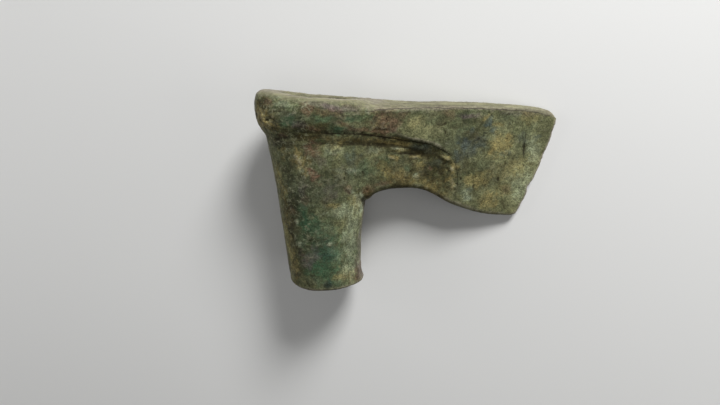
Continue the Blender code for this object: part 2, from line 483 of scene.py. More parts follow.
@dataclass(frozen=True)
class HeadLines:
    """Lines of the head's form in the drawing."""

    crease: Line = (
        (-15.7, 71.6), (-8.2, 71.4), (-1.3, 70.9), (6.7, 70.5), (12.1, 70.5), (19.9, 69.4), (26.6, 68.3),
        (31.2, 67.4), (39.0, 66.3), (44.5, 65.4), (47.8, 64.6), (51.0, 63.0), (54.8, 61.2), (57.0, 59.7),
    )
    band: Line = (
        (-12.2, 70.3), (-7.6, 69.4), (-2.6, 68.7), (4.7, 68.0), (12.8, 67.5), (21.2, 66.7), (27.8, 65.8),
        (34.3, 64.8), (40.9, 63.8),
    )
    ledge: Line = (
        (-5.5, 68.9), (1.2, 67.0), (7.8, 66.2), (14.0, 65.9), (22.3, 64.8), (29.0, 63.9), (37.0, 63.2),
        (43.5, 62.3),
    )
    panel_end: Line = ((57.0, 59.7), (59.3, 54.7), (60.2, 51.3), (60.4, 47.8), (60.2, 43.3))
    top_border: Line = (
        (20.7, 79.4), (25.2, 79.9), (31.6, 80.3), (43.1, 80.4), (50.0, 80.5), (59.4, 80.3), (71.5, 79.7),
        (81.3, 79.2), (92.6, 78.4), (98.8, 77.2), (104.0, 75.0),
    )
    bevel_foot: Line = ((21.0, 80.1), (31.6, 81.0), (50.0, 81.2), (71.5, 80.4), (92.6, 79.1))
    crest_step: Line = ((17.0, 86.0), (24.0, 85.0))
    slot: Line = ((89.6, 70.6), (89.5, 67.2), (89.3, 64.6), (89.3, 62.5), (89.7, 57.7))
    slot_floor: Line = ((89.3, 65.5), (89.3, 62.5), (89.7, 57.7))
    arch_groove: Line = ((10.2, 46.9), (11.9, 45.8), (13.1, 43.8))
    socket_ridge: Line = ((-10.4, 63.7), (-9.2, 60.8), (-8.4, 58.7), (-7.2, 56.2))
    rim_dark_line: Line = ((-9.0, 1.3), (12.0, 0.8))

    def crease_middle(self) -> Line:
        """Stretch of the crease where the solid is sharpest."""
        return self.crease[5:9]

    def crease_right(self) -> Line:
        """Stretch of the crease that runs down to the panel's end."""
        return self.crease[8:]

    def crease_end(self) -> Line:
        """Stretch of the crease where the hollows are darkened least."""
        return self.crease[7:]


@dataclass(frozen=True)
class Relief:
    """What is cast, worn and corroded into the skin, in millimetres."""

    lines: HeadLines = HeadLines()
    hole: HaftHole = HaftHole()
    sway: Sway = Sway((Clouds(4.0, 2, 2), Clouds(4.5, 3, 2)), (0.5, 0.6))
    breaks: Clouds = Clouds(3.6, 4, 2)
    break_fade: Fade = Fade(-0.5, 0.6)
    broken_stroke: float = 0.55
    whole_stroke: float = 1.30
    lump_steepness: float = 1.2
    worn_border: Fade = Fade(1.0, 0.3)
    flank_height: float = 0.38
    flank_above_crease: float = 1.2
    flank_width: float = 0.9
    flank_starts: Fade = Fade(24.0, 31.0)
    flank_ends: Fade = Fade(57.0, 50.0)
    filled_share: float = 0.8
    filled_width: float = 2.2
    filled_rounds: int = 30
    rough_places: Clouds = Clouds(14.0, 5, 1)
    rough_fade: Fade = Fade(-0.2, 0.5)
    least_rough: float = 0.6
    most_rough: float = 1.3
    swell: Clouds = Clouds(11.0, 6, 2)
    swell_height: float = 0.16
    bumps: Clouds = Clouds(3.2, 7, 2)
    bump_height: float = 0.10
    knob: Blob = Blob(-24.0, 77.0, 5.0, 7.0)
    knob_bump_height: float = 0.16
    grit: Clouds = Clouds(1.5, 8, 2)
    grit_height: float = 0.07
    pits: Clouds = Clouds(1.9, 9, 2)
    pit_fade: Fade = Fade(0.55, 0.95)
    pit_depth: float = 0.16
    streaks: Clouds = Clouds(1.2, 10, 2, (5.0, 1.0, 1.0))
    streaks_start: Fade = Fade(62.0, 67.0)
    streak_height: float = 0.06

    def strokes(self) -> tuple[Stroke, ...]:
        """Grooves and ridges cast or worn into the skin."""
        lines = self.lines
        return (
            Stroke(lines.crease, 0.6, -0.12, Face.BOTH, 0.25),
            Stroke(lines.ledge, 0.9, -0.12, Face.BOTH, 0.25),
            Stroke(((32.2, 60.9), (38.4, 60.7), (43.7, 59.5)), 0.6, -0.25, taper=0.4),
            Stroke(((9.0, 49.4), (11.5, 47.6), (13.1, 46.0), (14.6, 43.2)), 0.8, 0.3),
            Stroke(lines.arch_groove, 0.5, -0.25),
            Stroke(lines.slot_floor, 0.8, -0.24, taper=0.4),
            Stroke(((89.5, 70.5), (89.4, 67.0)), 0.9, -0.14, taper=0.5),
            Stroke(((-17.8, 79.5), (-15.5, 79.3), (-13.0, 78.6)), 0.5, -0.25, taper=0.4),
            Stroke(lines.socket_ridge, 0.9, 0.4),
        )

    def lumps(self) -> tuple[Blob, ...]:
        """Lumps and pits in the skin; strength is the height in millimetres."""
        return (
            Blob(32.2, 62.9, 3.6, 0.8, -3.0, 0.75),
            Blob(31.0, 58.8, 1.4, 0.7, -20.0, 0.5),
            Blob(40.6, 58.9, 2.6, 0.7, -3.0, 0.4),
            Blob(42.0, 50.2, 1.1, 0.9, 30.0, 0.55),
            Blob(54.6, 58.4, 2.2, 0.9, -30.0, 0.5),
            Blob(57.2, 53.4, 1.9, 1.1, -60.0, 0.6),
            Blob(57.8, 48.6, 1.6, 0.8, -70.0, 0.4),
            Blob(58.2, 44.6, 1.5, 0.8, -85.0, 0.35),
            Blob(20.5, 79.7, 1.9, 0.5, 90.0, 0.3),
            Blob(-9.9, 78.7, 1.1, 0.5, 20.0, 0.35),
            Blob(3.5, 22.2, 1.5, 0.6, 10.0, 0.3),
            Blob(-10.8, 32.0, 1.0, 0.9, 40.0, 0.35),
            Blob(-9.8, 22.9, 0.9, 0.9, 60.0, 0.25),
            Blob(-23.8, 77.7, 2.2, 0.9, -50.0, 0.7),
            Blob(-23.0, 75.3, 1.9, 0.8, -35.0, 0.7),
            Blob(-20.6, 73.9, 1.8, 0.8, -35.0, 0.65),
            Blob(-21.6, 75.9, 1.2, 0.6, -30.0, -0.5),
            Blob(-24.4, 75.4, 0.8, 0.6, 0.0, -0.35),
            Blob(78.9, 48.9, 0.9, 1.3, 10.0, -0.3),
            Blob(53.4, 73.6, 1.0, 1.0, 0.0, -0.2),
            Blob(-17.5, 68.0, 1.6, 0.8, 20.0, -0.4),
            Blob(-14.0, 68.6, 1.2, 0.7, 0.0, -0.35),
            Blob(-10.5, 60.5, 1.0, 2.6, 12.0, 0.3),
            Blob(17.8, 1.0, 1.6, 1.4, 0.0, 0.5, Face.BOTH),
        )

    def worn_places(self) -> tuple[Blob, ...]:
        """Places where rim and edge are worn back on both faces; strength is the depth."""
        return (
            Blob(-12.5, 0.0, 4.0, 1.6, 0.0, 0.15),
            Blob(13.0, 0.0, 3.0, 1.2, 0.0, 0.2),
            Blob(98.8, 60.5, 1.6, 2.2, 0.0, 0.25),
            Blob(101.9, 70.0, 1.4, 1.8, 0.0, 0.2),
            Blob(91.5, 37.0, 1.6, 2.0, 0.0, 0.3),
        )

    def melt(self, skin: Skin) -> None:
        """Round what the solid's facets leave too sharp."""
        skin.soften(self.lines.panel_end, width=3.5, share=0.7)
        skin.soften(self.lines.crease_middle(), width=1.8, share=0.45)
        skin.soften(self.lines.crease_right(), width=2.6, share=0.6, rounds=60)
        skin.soften(self.lines.crest_step, width=2.5, share=0.8, strictness=0)

    def marks(self, skin: Skin, outer: np.ndarray) -> np.ndarray:
        """Height of the strokes, the lumps and the worn places.

        Args:
            skin: The casting's skin.
            outer: How surely each point is outside the haft hole.

        Returns:
            One height a point, in millimetres.
        """
        moved = self.sway.move(skin.points)
        breaks = self.break_fade.at(self.breaks.at(skin.points))
        whole = self.broken_stroke + (self.whole_stroke - self.broken_stroke) * breaks
        height = np.zeros(len(moved))
        for stroke in self.strokes():
            height += stroke.strength * stroke.profile(moved) * skin.share_on(stroke.face) * outer * whole
        for lump in self.lumps():
            hump = np.exp(-self.lump_steepness * lump.reach(moved) ** 2)
            height += lump.strength * hump * skin.share_on(lump.face)
        for place in self.worn_places():
            height -= place.strength * self.worn_border.at(place.reach(skin.points))
        return height

    def collar_flank(self, skin: Skin, outer: np.ndarray) -> np.ndarray:
        """Height that fills the crease a little and rounds the collar's flank over it.

        Args:
            skin: The casting's skin.
            outer: How surely each point is outside the haft hole.

        Returns:
            One height a point, in millimetres.
        """
        above = distance_to_line(skin.points, self.lines.crease)[0]
        along = self.flank_starts.at(skin.points[:, 0]) * self.flank_ends.at(skin.points[:, 0])
        flank = bell(above - self.flank_above_crease, self.flank_width) * along
        depth = np.clip(skin.hollows(self.filled_rounds), 0.0, 1.0)
        filled = self.filled_share * depth * bell(above, self.filled_width) * outer
        return filled + self.flank_height * flank * skin.share_on(Face.SHOWN)

    def corrosion(self, skin: Skin, outer: np.ndarray) -> np.ndarray:
        """Height of the uneven, pitted surface.

        Args:
            skin: The casting's skin.
            outer: How surely each point is outside the haft hole.

        Returns:
            One height a point, in millimetres.
        """
        points = skin.points
        places = self.rough_fade.at(self.rough_places.at(points))
        rough = self.least_rough + (self.most_rough - self.least_rough) * places
        bumps = self.bump_height + self.knob_bump_height * bell(self.knob.reach(points), 1.0)
        height = self.swell_height * self.swell.at(points)
        height += rough * bumps * self.bumps.at(points)
        height += rough * self.grit_height * self.grit.at(points)
        height -= rough * self.pit_depth * self.pit_fade.at(self.pits.at(points))
        streaks = self.streak_height * self.streaks.at(points)
        return height + streaks * self.streaks_start.at(points[:, 1]) * outer

    def work(self, skin: Skin) -> None:
        """Work all of it into the skin."""
        self.melt(skin)
        outer = 1.0 - self.hole.wall(skin)
        lift = self.marks(skin, outer) + self.collar_flank(skin, outer) + self.corrosion(skin, outer)
        skin.points = skin.points + skin.normals * lift[:, None]
        skin.find_normals()


@dataclass(frozen=True)
class PatinaMap:
    """Where each mineral lies on the shown face: centre, half-sizes, turn and strength.

    Each mineral's rows go from what lies above Y 66, to the socket, left of X 20, the panel, up
    to X 60, and the rest of the blade. Some rows paint light and shade, as noted beside them.
    """

    green: tuple[PatchRow, ...] = (
        (-12.1, 75.4, 4.2, 2.5, 0, 0.75), (3, 76.4, 5.2, 1.8, 0, 0.55), (8.1, 72.6, 3.6, 1.7, -5, 0.8),
        (15.8, 76.9, 4.5, 1.6, 0, 0.55), (12.5, 76.6, 1.6, 1.2, 0, 0.6), (21.9, 77.1, 1.7, 2.1, 0, 0.5),
        (-14, 82.1, 5.1, 2, 0, 0.35), (0.6, 67.7, 2.9, 1.2, 0, 0.4), (35.5, 77.6, 3.9, 2.5, 0, 0.35),
        (47.6, 75.3, 3.5, 2.1, 0, 0.3), (-6.7, 33.4, 2.7, 5, 0, 0.9), (-2.8, 30.1, 4.4, 4.1, 0, 0.75),
        (4.8, 25.4, 5.2, 2.8, 0, 0.55), (4.7, 18, 4.8, 5.1, 0, 0.8), (0.2, 9.8, 7, 5.2, 0, 0.75),
        (6.3, 4.5, 4.4, 2.9, 0, 0.45), (11.7, 23.3, 3.6, 5.7, 0, 0.3), (-8.7, 38.6, 1.8, 1.8, 0, 0.4),
        (19.6, 55.1, 5.2, 3.6, 0, 0.45), (-3.1, 17.2, 4.9, 6.6, 0, 0.6), (13.4, 15, 2.5, 6.8, 0, 0.3),
        (-9.2, 24.8, 2.4, 4.7, 0, 0.35), (4.1, 31.4, 2.6, 7.2, 0, 0.35), (29.2, 56.7, 4, 2.7, 0, 0.45),
        (38.1, 53.8, 1.8, 1.8, 0, 0.6),
    )
    red: tuple[PatchRow, ...] = (
        (28.3, 75, 6.4, 5.5, -8, 0.85), (35, 78.4, 2.6, 1.5, 0, 0.55), (-3.8, 80.3, 2.4, 1.9, 0, 0.75),
        (-5.4, 82.6, 2.4, 1.5, -20, 0.4), (-21.1, 82.7, 2.3, 2, 0, 0.65), (-2.4, 73.1, 4, 1.3, -5, 0.55),
        (10.1, 74.6, 3.6, 1, -20, 0.5), (17, 71.8, 5.8, 1.1, -8, 0.65), (24.6, 71.1, 4.3, 1.4, -8, 0.7),
        (55.2, 78.2, 3, 1.7, 0, 0.5), (-14.9, 69.4, 2.7, 0.9, -5, 0.5), (5, 79.1, 5.5, 1.6, -8, 0.35),
        (-2.8, 64.3, 3.7, 2.9, 0, 0.95), (-2.2, 52.5, 1.9, 2.8, 25, 1), (-4.5, 54.6, 1.7, 2.1, 30, 0.9),
        (-6, 42.4, 1.7, 2.7, 0, 0.35), (-12.5, 37.2, 1.9, 1.9, 0, 0.4), (11.9, 46.7, 2.1, 1.3, -40, 0.55),
        (19.6, 45.2, 2.6, 2.3, 30, 0.6), (17, 5.8, 2.6, 4.4, 0, 0.7), (27.1, 47.5, 4.5, 1.1, 8, 0.5),
        (47.9, 54.2, 0.9, 0.9, 0, 0.8), (82.8, 44.1, 2.3, 2.4, 0, 0.35),
    )
    violet: tuple[PatchRow, ...] = (
        (5, 81, 3.6, 1.4, 0, 0.55), (11, 80.2, 6.4, 1.2, -2, 0.45), (1, 82.6, 6.4, 1.2, -2, 0.35),
        (64, 76.9, 5.3, 1.3, 0, 0.7), (-7.2, 73.9, 3.3, 1.6, 0, 0.5), (31.4, 71.3, 2.6, 1.3, 0, 0.4),
        (86.1, 78, 9, 1.1, -1, 0.35), (50.8, 80.3, 17.1, 0.8, 0, 0.3), (10.9, 81.3, 8.8, 1.2, -2, 0.4),
        (99.2, 78.3, 2.2, 1.7, 0, 0.6), (-4.9, 17, 4.1, 3.8, 0, 0.6), (-7.6, 46.7, 1.8, 4.4, 0, 0.35),
        (4.3, 44.7, 3.3, 4.4, 0, 0.35), (0.4, 59.7, 2.5, 2.5, 0, 0.35), (-6.9, 12.5, 2.8, 2.4, 0, 0.5),
        (16.5, 7.2, 2.4, 4.6, 0, 0.4),
    )
    blue: tuple[PatchRow, ...] = (
        (73, 74.3, 1.8, 2.6, -15, 0.75), (75.1, 70.4, 1.8, 1.7, 0, 0.6), (65.2, 70.9, 2.2, 1.3, 0, 0.55),
        (94.8, 67.5, 1.8, 1.8, 0, 0.45), (88, 67.1, 2.3, 2.2, 0, 0.35), (2.8, 3.5, 1.8, 1.5, 0, 0.5),
        (13.6, 59.2, 2.1, 4.3, 0, 0.35), (8.6, 52.7, 2.1, 4.3, 0, 0.25), (3.9, 21.3, 2.6, 6.5, 0, 0.25),
        (59.3, 58.8, 2.2, 3.2, -20, 0.6), (43.1, 63.1, 5.2, 1.8, -8, 0.5), (50, 56.4, 4, 1.8, 0, 0.4),
        (62, 65.8, 2.2, 2.6, 0, 0.85), (69.1, 65.7, 4, 3.5, 0, 0.6), (64.9, 62.2, 3.6, 2.2, 0, 0.5),
        (66.1, 44.1, 1.8, 1.9, 0, 0.45), (65, 40.4, 2.3, 1.4, 0, 0.4), (80.9, 60.6, 2.3, 1.3, 0, 0.35),
    )
    ochre: tuple[PatchRow, ...] = (
        (82.5, 67.6, 2.3, 1.8, 0, 0.8), (77.5, 73.3, 2.7, 1.3, 0, 0.55), (71.1, 76, 1.8, 1.1, 30, 0.7),
        (90.8, 75.8, 4.5, 2.6, 0, 0.4), (-22, 75.8, 4.4, 3.5, -30, 0.85), (-25.9, 78.8, 1.7, 3.4, 0, 0.5),
        (23.7, 72.4, 2.5, 2.6, 0, 0.4), (40.3, 74.6, 3.4, 2.5, 0, 0.3), (-23.8, 78.5, 2.1, 2.9, 35, 0.6),
        (-24, 76, 2.1, 4, 12, 0.4), (-19.3, 74.3, 2.8, 0.9, -45, 0.8), (-25.8, 80.4, 1.7, 2.5, -10, 0.2),
        (33.8, 67.2, 3.9, 0.7, -8, 0.9), (-8, 59.1, 2.2, 4.3, 16, 1), (-9.8, 63.5, 1.2, 2.1, 12, 0.95),
        (5.5, 65.1, 3.3, 2.9, 0, 0.4), (16.1, 40.3, 2.8, 3.3, 0, 0.45), (5.5, 39.8, 3, 1.3, 0, 0.6),
        # (-12.3, 9.5), (-15.2, 24.6) and (-17.4, 47.5): painted rim light in long strips down the socket's
        # left side.
        (-12.3, 9.5, 1.7, 7.3, 6, 0.6), (-15.2, 24.6, 1.4, 9.1, 8, 0.5), (-17.4, 47.5, 1.1, 10.3, 10, 0.5),
        (8.9, 6.4, 4.1, 1.9, 0, 0.45), (-15, 62.5, 1.2, 3.5, 8, 0.4), (-8.2, 58.3, 1.3, 2.6, 16, 0.5),
        (39.2, 49.3, 6.3, 1.8, 0, 0.3), (34.7, 50.7, 2.7, 2.3, 0, 0.35), (50.9, 43.3, 6.2, 2.7, -28, 0.45),
        (45.5, 47, 3.6, 1.8, -15, 0.4), (41.1, 59.5, 3.1, 1, -3, 0.8), (32, 59, 2.4, 1.1, -5, 1),
        (34.4, 62.7, 4, 0.9, -3, 0.75), (32.6, 65.2, 4.8, 0.8, -8, 0.5), (43.4, 55.5, 2.6, 1.8, 0, 0.35),
        (26.6, 56, 2.2, 1.8, 0, 0.45), (29.7, 54.5, 1.8, 2.7, 0, 0.4), (54.2, 59.1, 2.1, 1.2, -20, 0.5),
        (58, 53.7, 1.5, 2.7, 15, 0.8), (57.9, 47.4, 1.3, 3.2, 8, 0.55), (42.3, 49.7, 1.8, 1.4, 0, 0.5),
        (32.4, 54.4, 10.7, 4.5, 0, 0.15), (41, 47.4, 6.2, 1.4, 0, 0.2), (78.3, 64.2, 4.5, 4.9, 0, 0.75),
        (74.8, 62, 2.3, 2.7, 0, 0.7), (74.9, 38.7, 4.7, 3.8, 0, 0.75), (66.8, 48.3, 3.7, 2.8, 0, 0.55),
        (71.7, 49.5, 3.7, 3.7, 0, 0.5), (82.3, 44.6, 3.7, 3.8, 0, 0.4), (88.2, 55.1, 3.7, 4.1, 0, 0.4),
        (82.9, 52.9, 4.6, 3.7, 0, 0.35),
    )
    khaki: tuple[PatchRow, ...] = (
        (44.7, 71.1, 6.9, 3.4, 0, 0.5), (38.1, 74.6, 3.9, 5.1, 0, 0.5), (80.4, 66.4, 13.6, 8.8, 15, 0.6),
        (43.8, 73.3, 10.4, 5.1, 0, 0.5), (72, 76, 3.6, 2.1, 0, 0.6), (13.5, 34.1, 5.4, 10.3, 0, 0.3),
        (15.6, 17.7, 4.8, 13.8, 0, 0.2), (12.5, 6.3, 5.8, 4.7, 0, 0.4), (7.9, 63.8, 3.3, 3.3, 0, 0.35),
        # (-15.6, 26.9) and (-19.9, 56), and (-13.8, 11.8) on the next line: painted rim light in long
        # strips down the socket's left side.
        (-15.6, 26.9, 2.1, 25, 7, 0.5), (-19.9, 56, 1.7, 14.1, 9, 0.35), (16.1, 38, 3.8, 4.7, 0, 0.5),
        (-13.8, 11.8, 1.5, 9.5, 4, 0.6), (4.6, 38.1, 3.4, 3.6, 0, 0.4), (22.1, 60.6, 5.2, 3.5, 0, 0.3),
        (40, 50.2, 8.9, 2.7, 0, 0.4), (89.7, 49.1, 8.4, 14, -12, 0.75), (87.3, 36, 7.6, 4.9, 10, 0.7),
        (71.9, 41.2, 9.3, 6.6, 0, 0.5), (97.6, 62.6, 4.2, 16.3, -14, 0.6),
        (79.1, 55.2, 11.9, 6.4, 0, 0.35), (88.7, 50.5, 7.4, 7.4, 0, 0.4), (90.8, 52.7, 4.6, 7.4, 0, 0.3),
    )
    pale: tuple[PatchRow, ...] = (
        (-14, 82.5, 4.2, 1.2, 0, 0.45), (-15.9, 85.2, 2.1, 0.5, -5, 0.6),
        (-10.5, 78.7, 1.3, 0.6, 10, 0.75), (20.5, 79.6, 0.4, 1.8, -3, 0.7),
        (-20.6, 75.9, 1.9, 0.5, -40, 0.7), (-23.4, 76.9, 1.5, 0.5, -50, 0.7),
        (-14.9, 79.3, 1.7, 0.4, 0, 0.35), (-20.6, 75.6, 1.9, 0.7, -25, 0.7),
        (-18.4, 73.9, 1.4, 0.5, -45, 0.5), (13.9, 27.3, 3.3, 12.5, 0, 0.4), (9.7, 36.7, 3.9, 3.6, 0, 0.45),
        # (17.9, 38.7), and (16.8, 40.1) further down: a pale ridge, painted brighter as painted light where
        # the web shades the socket.
        (17.9, 38.7, 1.3, 3.4, 10, 0.85), (12.5, 12.5, 2.9, 5.8, 0, 0.3), (8.2, 17, 3.5, 2.8, 0, 0.2),
        (5.8, 64.2, 2.9, 2.1, 0, 0.45), (11.1, 54.6, 6.7, 0.9, -5, 0.35), (3.9, 22.7, 1.3, 0.6, 15, 0.85),
        (-10.8, 32.4, 1, 1.4, 0, 0.7), (-9.8, 21.9, 1.2, 1.9, 0, 0.65), (-8, 57.9, 1.7, 2.6, 20, 1),
        (0.8, 36.4, 1.7, 0.4, 40, 0.4), (12.6, 24, 2.3, 9.5, 0, 0.3), (16.8, 40.1, 1.9, 3.8, 15, 1),
        (23.4, 62.7, 3.5, 1.3, 0, 0.35), (58.8, 46.5, 1.1, 2.3, 10, 0.55), (34.4, 62.7, 3.5, 0.6, -3, 0.8),
        (31.8, 59, 1, 0.6, -20, 0.7), (42.2, 50.1, 1.8, 1.4, 0, 1), (41.5, 59.7, 2.2, 0.4, -3, 0.5),
        (54.2, 59.3, 1.7, 0.6, -20, 0.3), (57.6, 54.2, 0.9, 1.3, 20, 0.6), (93.6, 48.1, 2.4, 5.6, 20, 0.4),
        (89.3, 44.5, 4.2, 7.1, 20, 0.45), (94, 61.7, 2.8, 5.9, 20, 0.5), (65, 40, 2.8, 2.1, 0, 0.45),
        (63.5, 42.8, 1.8, 1.4, 0, 0.45),
    )
    # Dark patches: grime, and painted shade along the crease.
    dark: tuple[PatchRow, ...] = (
        (-15.1, 66.4, 4.1, 2.2, -10, 0.75), (-18.9, 67.3, 2, 1.8, 0, 0.5),
        (-15.3, 69.5, 2.3, 0.6, -5, 0.7), (-14.5, 79.4, 3.4, 0.5, -8, 0.55), (-19, 73, 1.9, 1.8, 0, 0.5),
        # (4.8, 71.4) and (22.1, 69.5), and (8.7, 66.7) on the next line, lie along the crease: grime and
        # painted shade under the collar.
        (-7.3, 72.7, 5, 1.3, 0, 0.5), (4.8, 71.4, 11.2, 0.9, -2, 0.6), (22.1, 69.5, 10.3, 0.7, -5, 0.75),
        (42, 66.4, 5.3, 0.8, -7, 0.25), (8.7, 66.7, 12.2, 0.9, -3, 0.5), (65, 74.8, 4.4, 1.7, 0, 0.5),
        (51.1, 73, 1.3, 1.3, 0, 0.45), (56.3, 73.6, 1.3, 3.4, 10, 0.35), (67.1, 69.2, 3.6, 2.6, 0, 0.35),
        (89, 66.2, 1, 3.5, -2, 0.5), (96.9, 68.8, 1.4, 2.7, 20, 0.3), (-17.6, 78.1, 1.3, 3.3, 0, 0.45),
        (-22.5, 72.3, 2.6, 1.2, -20, 0.4), (67.1, 69.6, 2.7, 2.6, 0, 0.3),
        (-18.6, 76.8, 1.4, 2.1, 35, 0.5), (-23.7, 79, 2.1, 2.9, 10, 0.4), (-13, 54.9, 2.3, 7, 8, 0.5),
        (-14, 63.4, 1.8, 2.6, 0, 0.5), (-11.8, 41.8, 2.4, 8.2, 6, 0.55), (-10.7, 23.6, 2, 6.7, 5, 0.5),
        (-9, 18.3, 2.4, 3.8, 0, 0.45), (-8.4, 8.8, 2.4, 3.9, 0, 0.4), (17, 58.9, 3.4, 2.6, 0, 0.25),
        (3.2, 55.5, 2.1, 3, 0, 0.3), (-3.2, 46.9, 2.6, 5.2, 0, 0.35), (2.1, 40.4, 2.5, 3.5, 0, 0.3),
        (3.6, 2.9, 2.6, 1.5, 0, 0.4), (-13.3, 30, 1.5, 12.4, 6, 0.35), (42.2, 62.7, 6.1, 1.9, -6, 0.25),
        (48.5, 59.1, 4.3, 2.3, -20, 0.3), (47.9, 54.2, 5.3, 3.1, 0, 0.4), (54.6, 51, 1.8, 3.6, 10, 0.35),
        (58.3, 56.5, 1.3, 1.8, -20, 0.5), (60, 50.6, 0.6, 3.6, 3, 0.6), (59.8, 44.2, 0.8, 2.8, 8, 0.5),
        (53.8, 62.4, 2.6, 1, -30, 0.3), (20.6, 41, 1.8, 2.5, 0, 0.4), (50.6, 52.4, 5.8, 5, 0, 0.3),
        (89.4, 60, 0.7, 2.7, -2, 0.5), (78.6, 49.3, 1.1, 2.3, 8, 0.6), (82.1, 36.1, 1.7, 2.4, 20, 0.6),
        (78.6, 33.3, 4.7, 1.1, -5, 0.45), (65.4, 55.1, 4.5, 2.3, 0, 0.25), (72.4, 58.5, 4.6, 1.3, 0, 0.3),
        (61.1, 65.8, 2.2, 2.6, 0, 0.4),
    )
    slate: tuple[PatchRow, ...] = (
        (63.2, 75.6, 7, 3.4, 0, 0.5), (-7.1, 75.5, 10.7, 3.3, -4, 0.35), (68.1, 67.9, 6.7, 5.2, 0, 0.4),
        (5, 80.3, 13.4, 1.9, -3, 0.45), (40.3, 81.1, 3.4, 0.8, 0, 0.3), (-2.2, 17.2, 8.8, 13.1, 0, 0.7),
        (-4.9, 46.9, 8.6, 10.5, 0, 0.65), (13.6, 57, 3, 7.8, 0, 0.4), (-8.9, 35.5, 4.6, 11.9, 5, 0.5),
        (4.3, 46.9, 5.8, 6.1, 0, 0.35), (1.5, 4.5, 7.9, 3.4, 0, 0.4), (3.8, 14.3, 5.2, 5.6, 0, 0.35),
        (22.2, 50.5, 7, 4.1, 0, 0.4), (35.5, 54.3, 8.9, 5.4, 0, 0.3), (63, 64, 7.1, 6.2, 0, 0.5),
    )
    # Brown soil, and painted shade on the band under the collar, at the arch's root and on the web under
    # the crease.
    earth: tuple[PatchRow, ...] = (
        (-20.4, 72.9, 2.9, 2.2, 0, 0.35), (4.9, 73.1, 11.2, 2.1, -2, 0.35), (23, 66.7, 8.6, 1.4, -4, 0.5),
        (-3, 79.5, 4.8, 2.7, 0, 0.3), (-2.3, 73.5, 12.9, 1.6, 0, 0.5), (-14.2, 71.6, 3.1, 1.3, 0, 0.4),
        (-24.2, 78.9, 3.1, 4.2, 10, 0.95), (0.2, 79.1, 10.3, 1.9, -2, 0.5), (-23.6, 81, 2, 2.4, 0, 0.5),
        (-15.4, 38.8, 2.6, 16.1, 7, 0.3), (-13.8, 11.8, 3.6, 13.7, 5, 0.45),
        (-13.8, 29.9, 2.1, 16.4, 6, 0.5), (20.5, 43.3, 4, 2.5, -25, 0.85), (30.4, 45.2, 8.3, 1.7, 0, 0.5),
        (49.3, 43.1, 7.4, 3.3, 30, 0.7), (50.1, 52.4, 6.6, 5.4, 0, 0.75), (42.3, 62.2, 7.7, 2.8, -5, 0.7),
        (52.1, 59.1, 5.3, 2.7, -35, 0.5), (34.7, 48, 9, 2.7, 0, 0.35), (34.6, 54.3, 10.7, 7.1, 0, 0.4),
        (34.7, 48.5, 5.8, 3.2, 0, 0.6), (27.4, 62.5, 4.4, 1.7, -4, 0.4), (36.9, 50.7, 11.6, 3.2, 0, 0.35),
        (50.7, 49.7, 6.2, 4.5, 0, 0.35), (47.5, 62.7, 3.1, 1.3, -20, 0.5), (70.3, 49.5, 8.3, 5.5, 0, 0.3),
    )
    lines: HeadLines = HeadLines()
    first_seed: int = 40
    seeds_each: int = 5
    drift_grain: float = 3.4
    drift_height: float = 2.2
    ragged_grain: float = 1.5
    ragged_share: float = 0.4
    large_patch: float = 3.0
    inner_border: tuple[float, float] = (0.65, 0.30)
    outer_border: tuple[float, float] = (1.25, 1.55)
    stain_fade: Fade = Fade(-0.4, 0.3)
    broken_stain: float = 0.75
    shown_height: Fade = Fade(-2.0, 1.0)
    loose_grain: float = 12.0
    loose_layers: int = 4
    loose_ragged: float = 0.3
    loose_fade: Fade = Fade(0.1, 0.6)
    hidden_amounts: tuple[tuple[Mineral, float], ...] = (
        (Mineral.GREEN, 0.7),
        (Mineral.RED, 0.5),
        (Mineral.VIOLET, 0.2),
    )
    hidden_amount: float = 0.4
    less_when_shown: float = 0.8

    def patches(self, mineral: Mineral) -> list[Blob]:
        """Patches of one mineral."""
        return [Blob(*row) for row in getattr(self, mineral.value)]

    def stains(self) -> tuple[Stroke, ...]:
        """Minerals that lie along lines of the casting."""
        lines = self.lines
        return (
            # Painted shade and brown soil on the band under the collar's overhang.
            Stroke(lines.band, 2.0, 1.0, taper=0.1, mineral=Mineral.EARTH),
            Stroke(lines.band[5:], 0.5, 0.5, mineral=Mineral.OCHRE),
            # Painted shade under the right end of the crease.
            Stroke(((36.0, 64.0), (43.0, 62.9), (48.0, 61.0)), 1.8, 0.35, mineral=Mineral.DARK),
            Stroke(lines.slot_floor, 0.9, 0.3, mineral=Mineral.DARK),
            Stroke(lines.arch_groove, 0.6, 0.7, mineral=Mineral.VIOLET),
            Stroke(((11.0, 47.6), (13.2, 45.9), (14.6, 43.2)), 0.6, 0.6, mineral=Mineral.PALE),
            Stroke(lines.socket_ridge[:2], 0.7, 0.7, mineral=Mineral.OCHRE),
            Stroke(((-8.9, 60.0), *lines.socket_ridge[2:]), 0.9, 0.9, taper=0.2, mineral=Mineral.OCHRE),
            Stroke(((0.8, 36.0), (4.2, 37.4)), 0.35, 0.6, mineral=Mineral.PALE),
            Stroke(((80.6, 39.2), (82.0, 37.0), (83.6, 34.2)), 0.6, 0.85, mineral=Mineral.DARK),
            Stroke(((32.0, 66.2), (40.9, 64.6)), 0.5, 0.7, mineral=Mineral.OCHRE),
            Stroke(lines.bevel_foot, 0.5, 0.65, taper=0.1, mineral=Mineral.VIOLET),
            Stroke(((2.5, 35.0), (4.4, 36.2)), 0.35, 0.5, mineral=Mineral.PALE),
        )

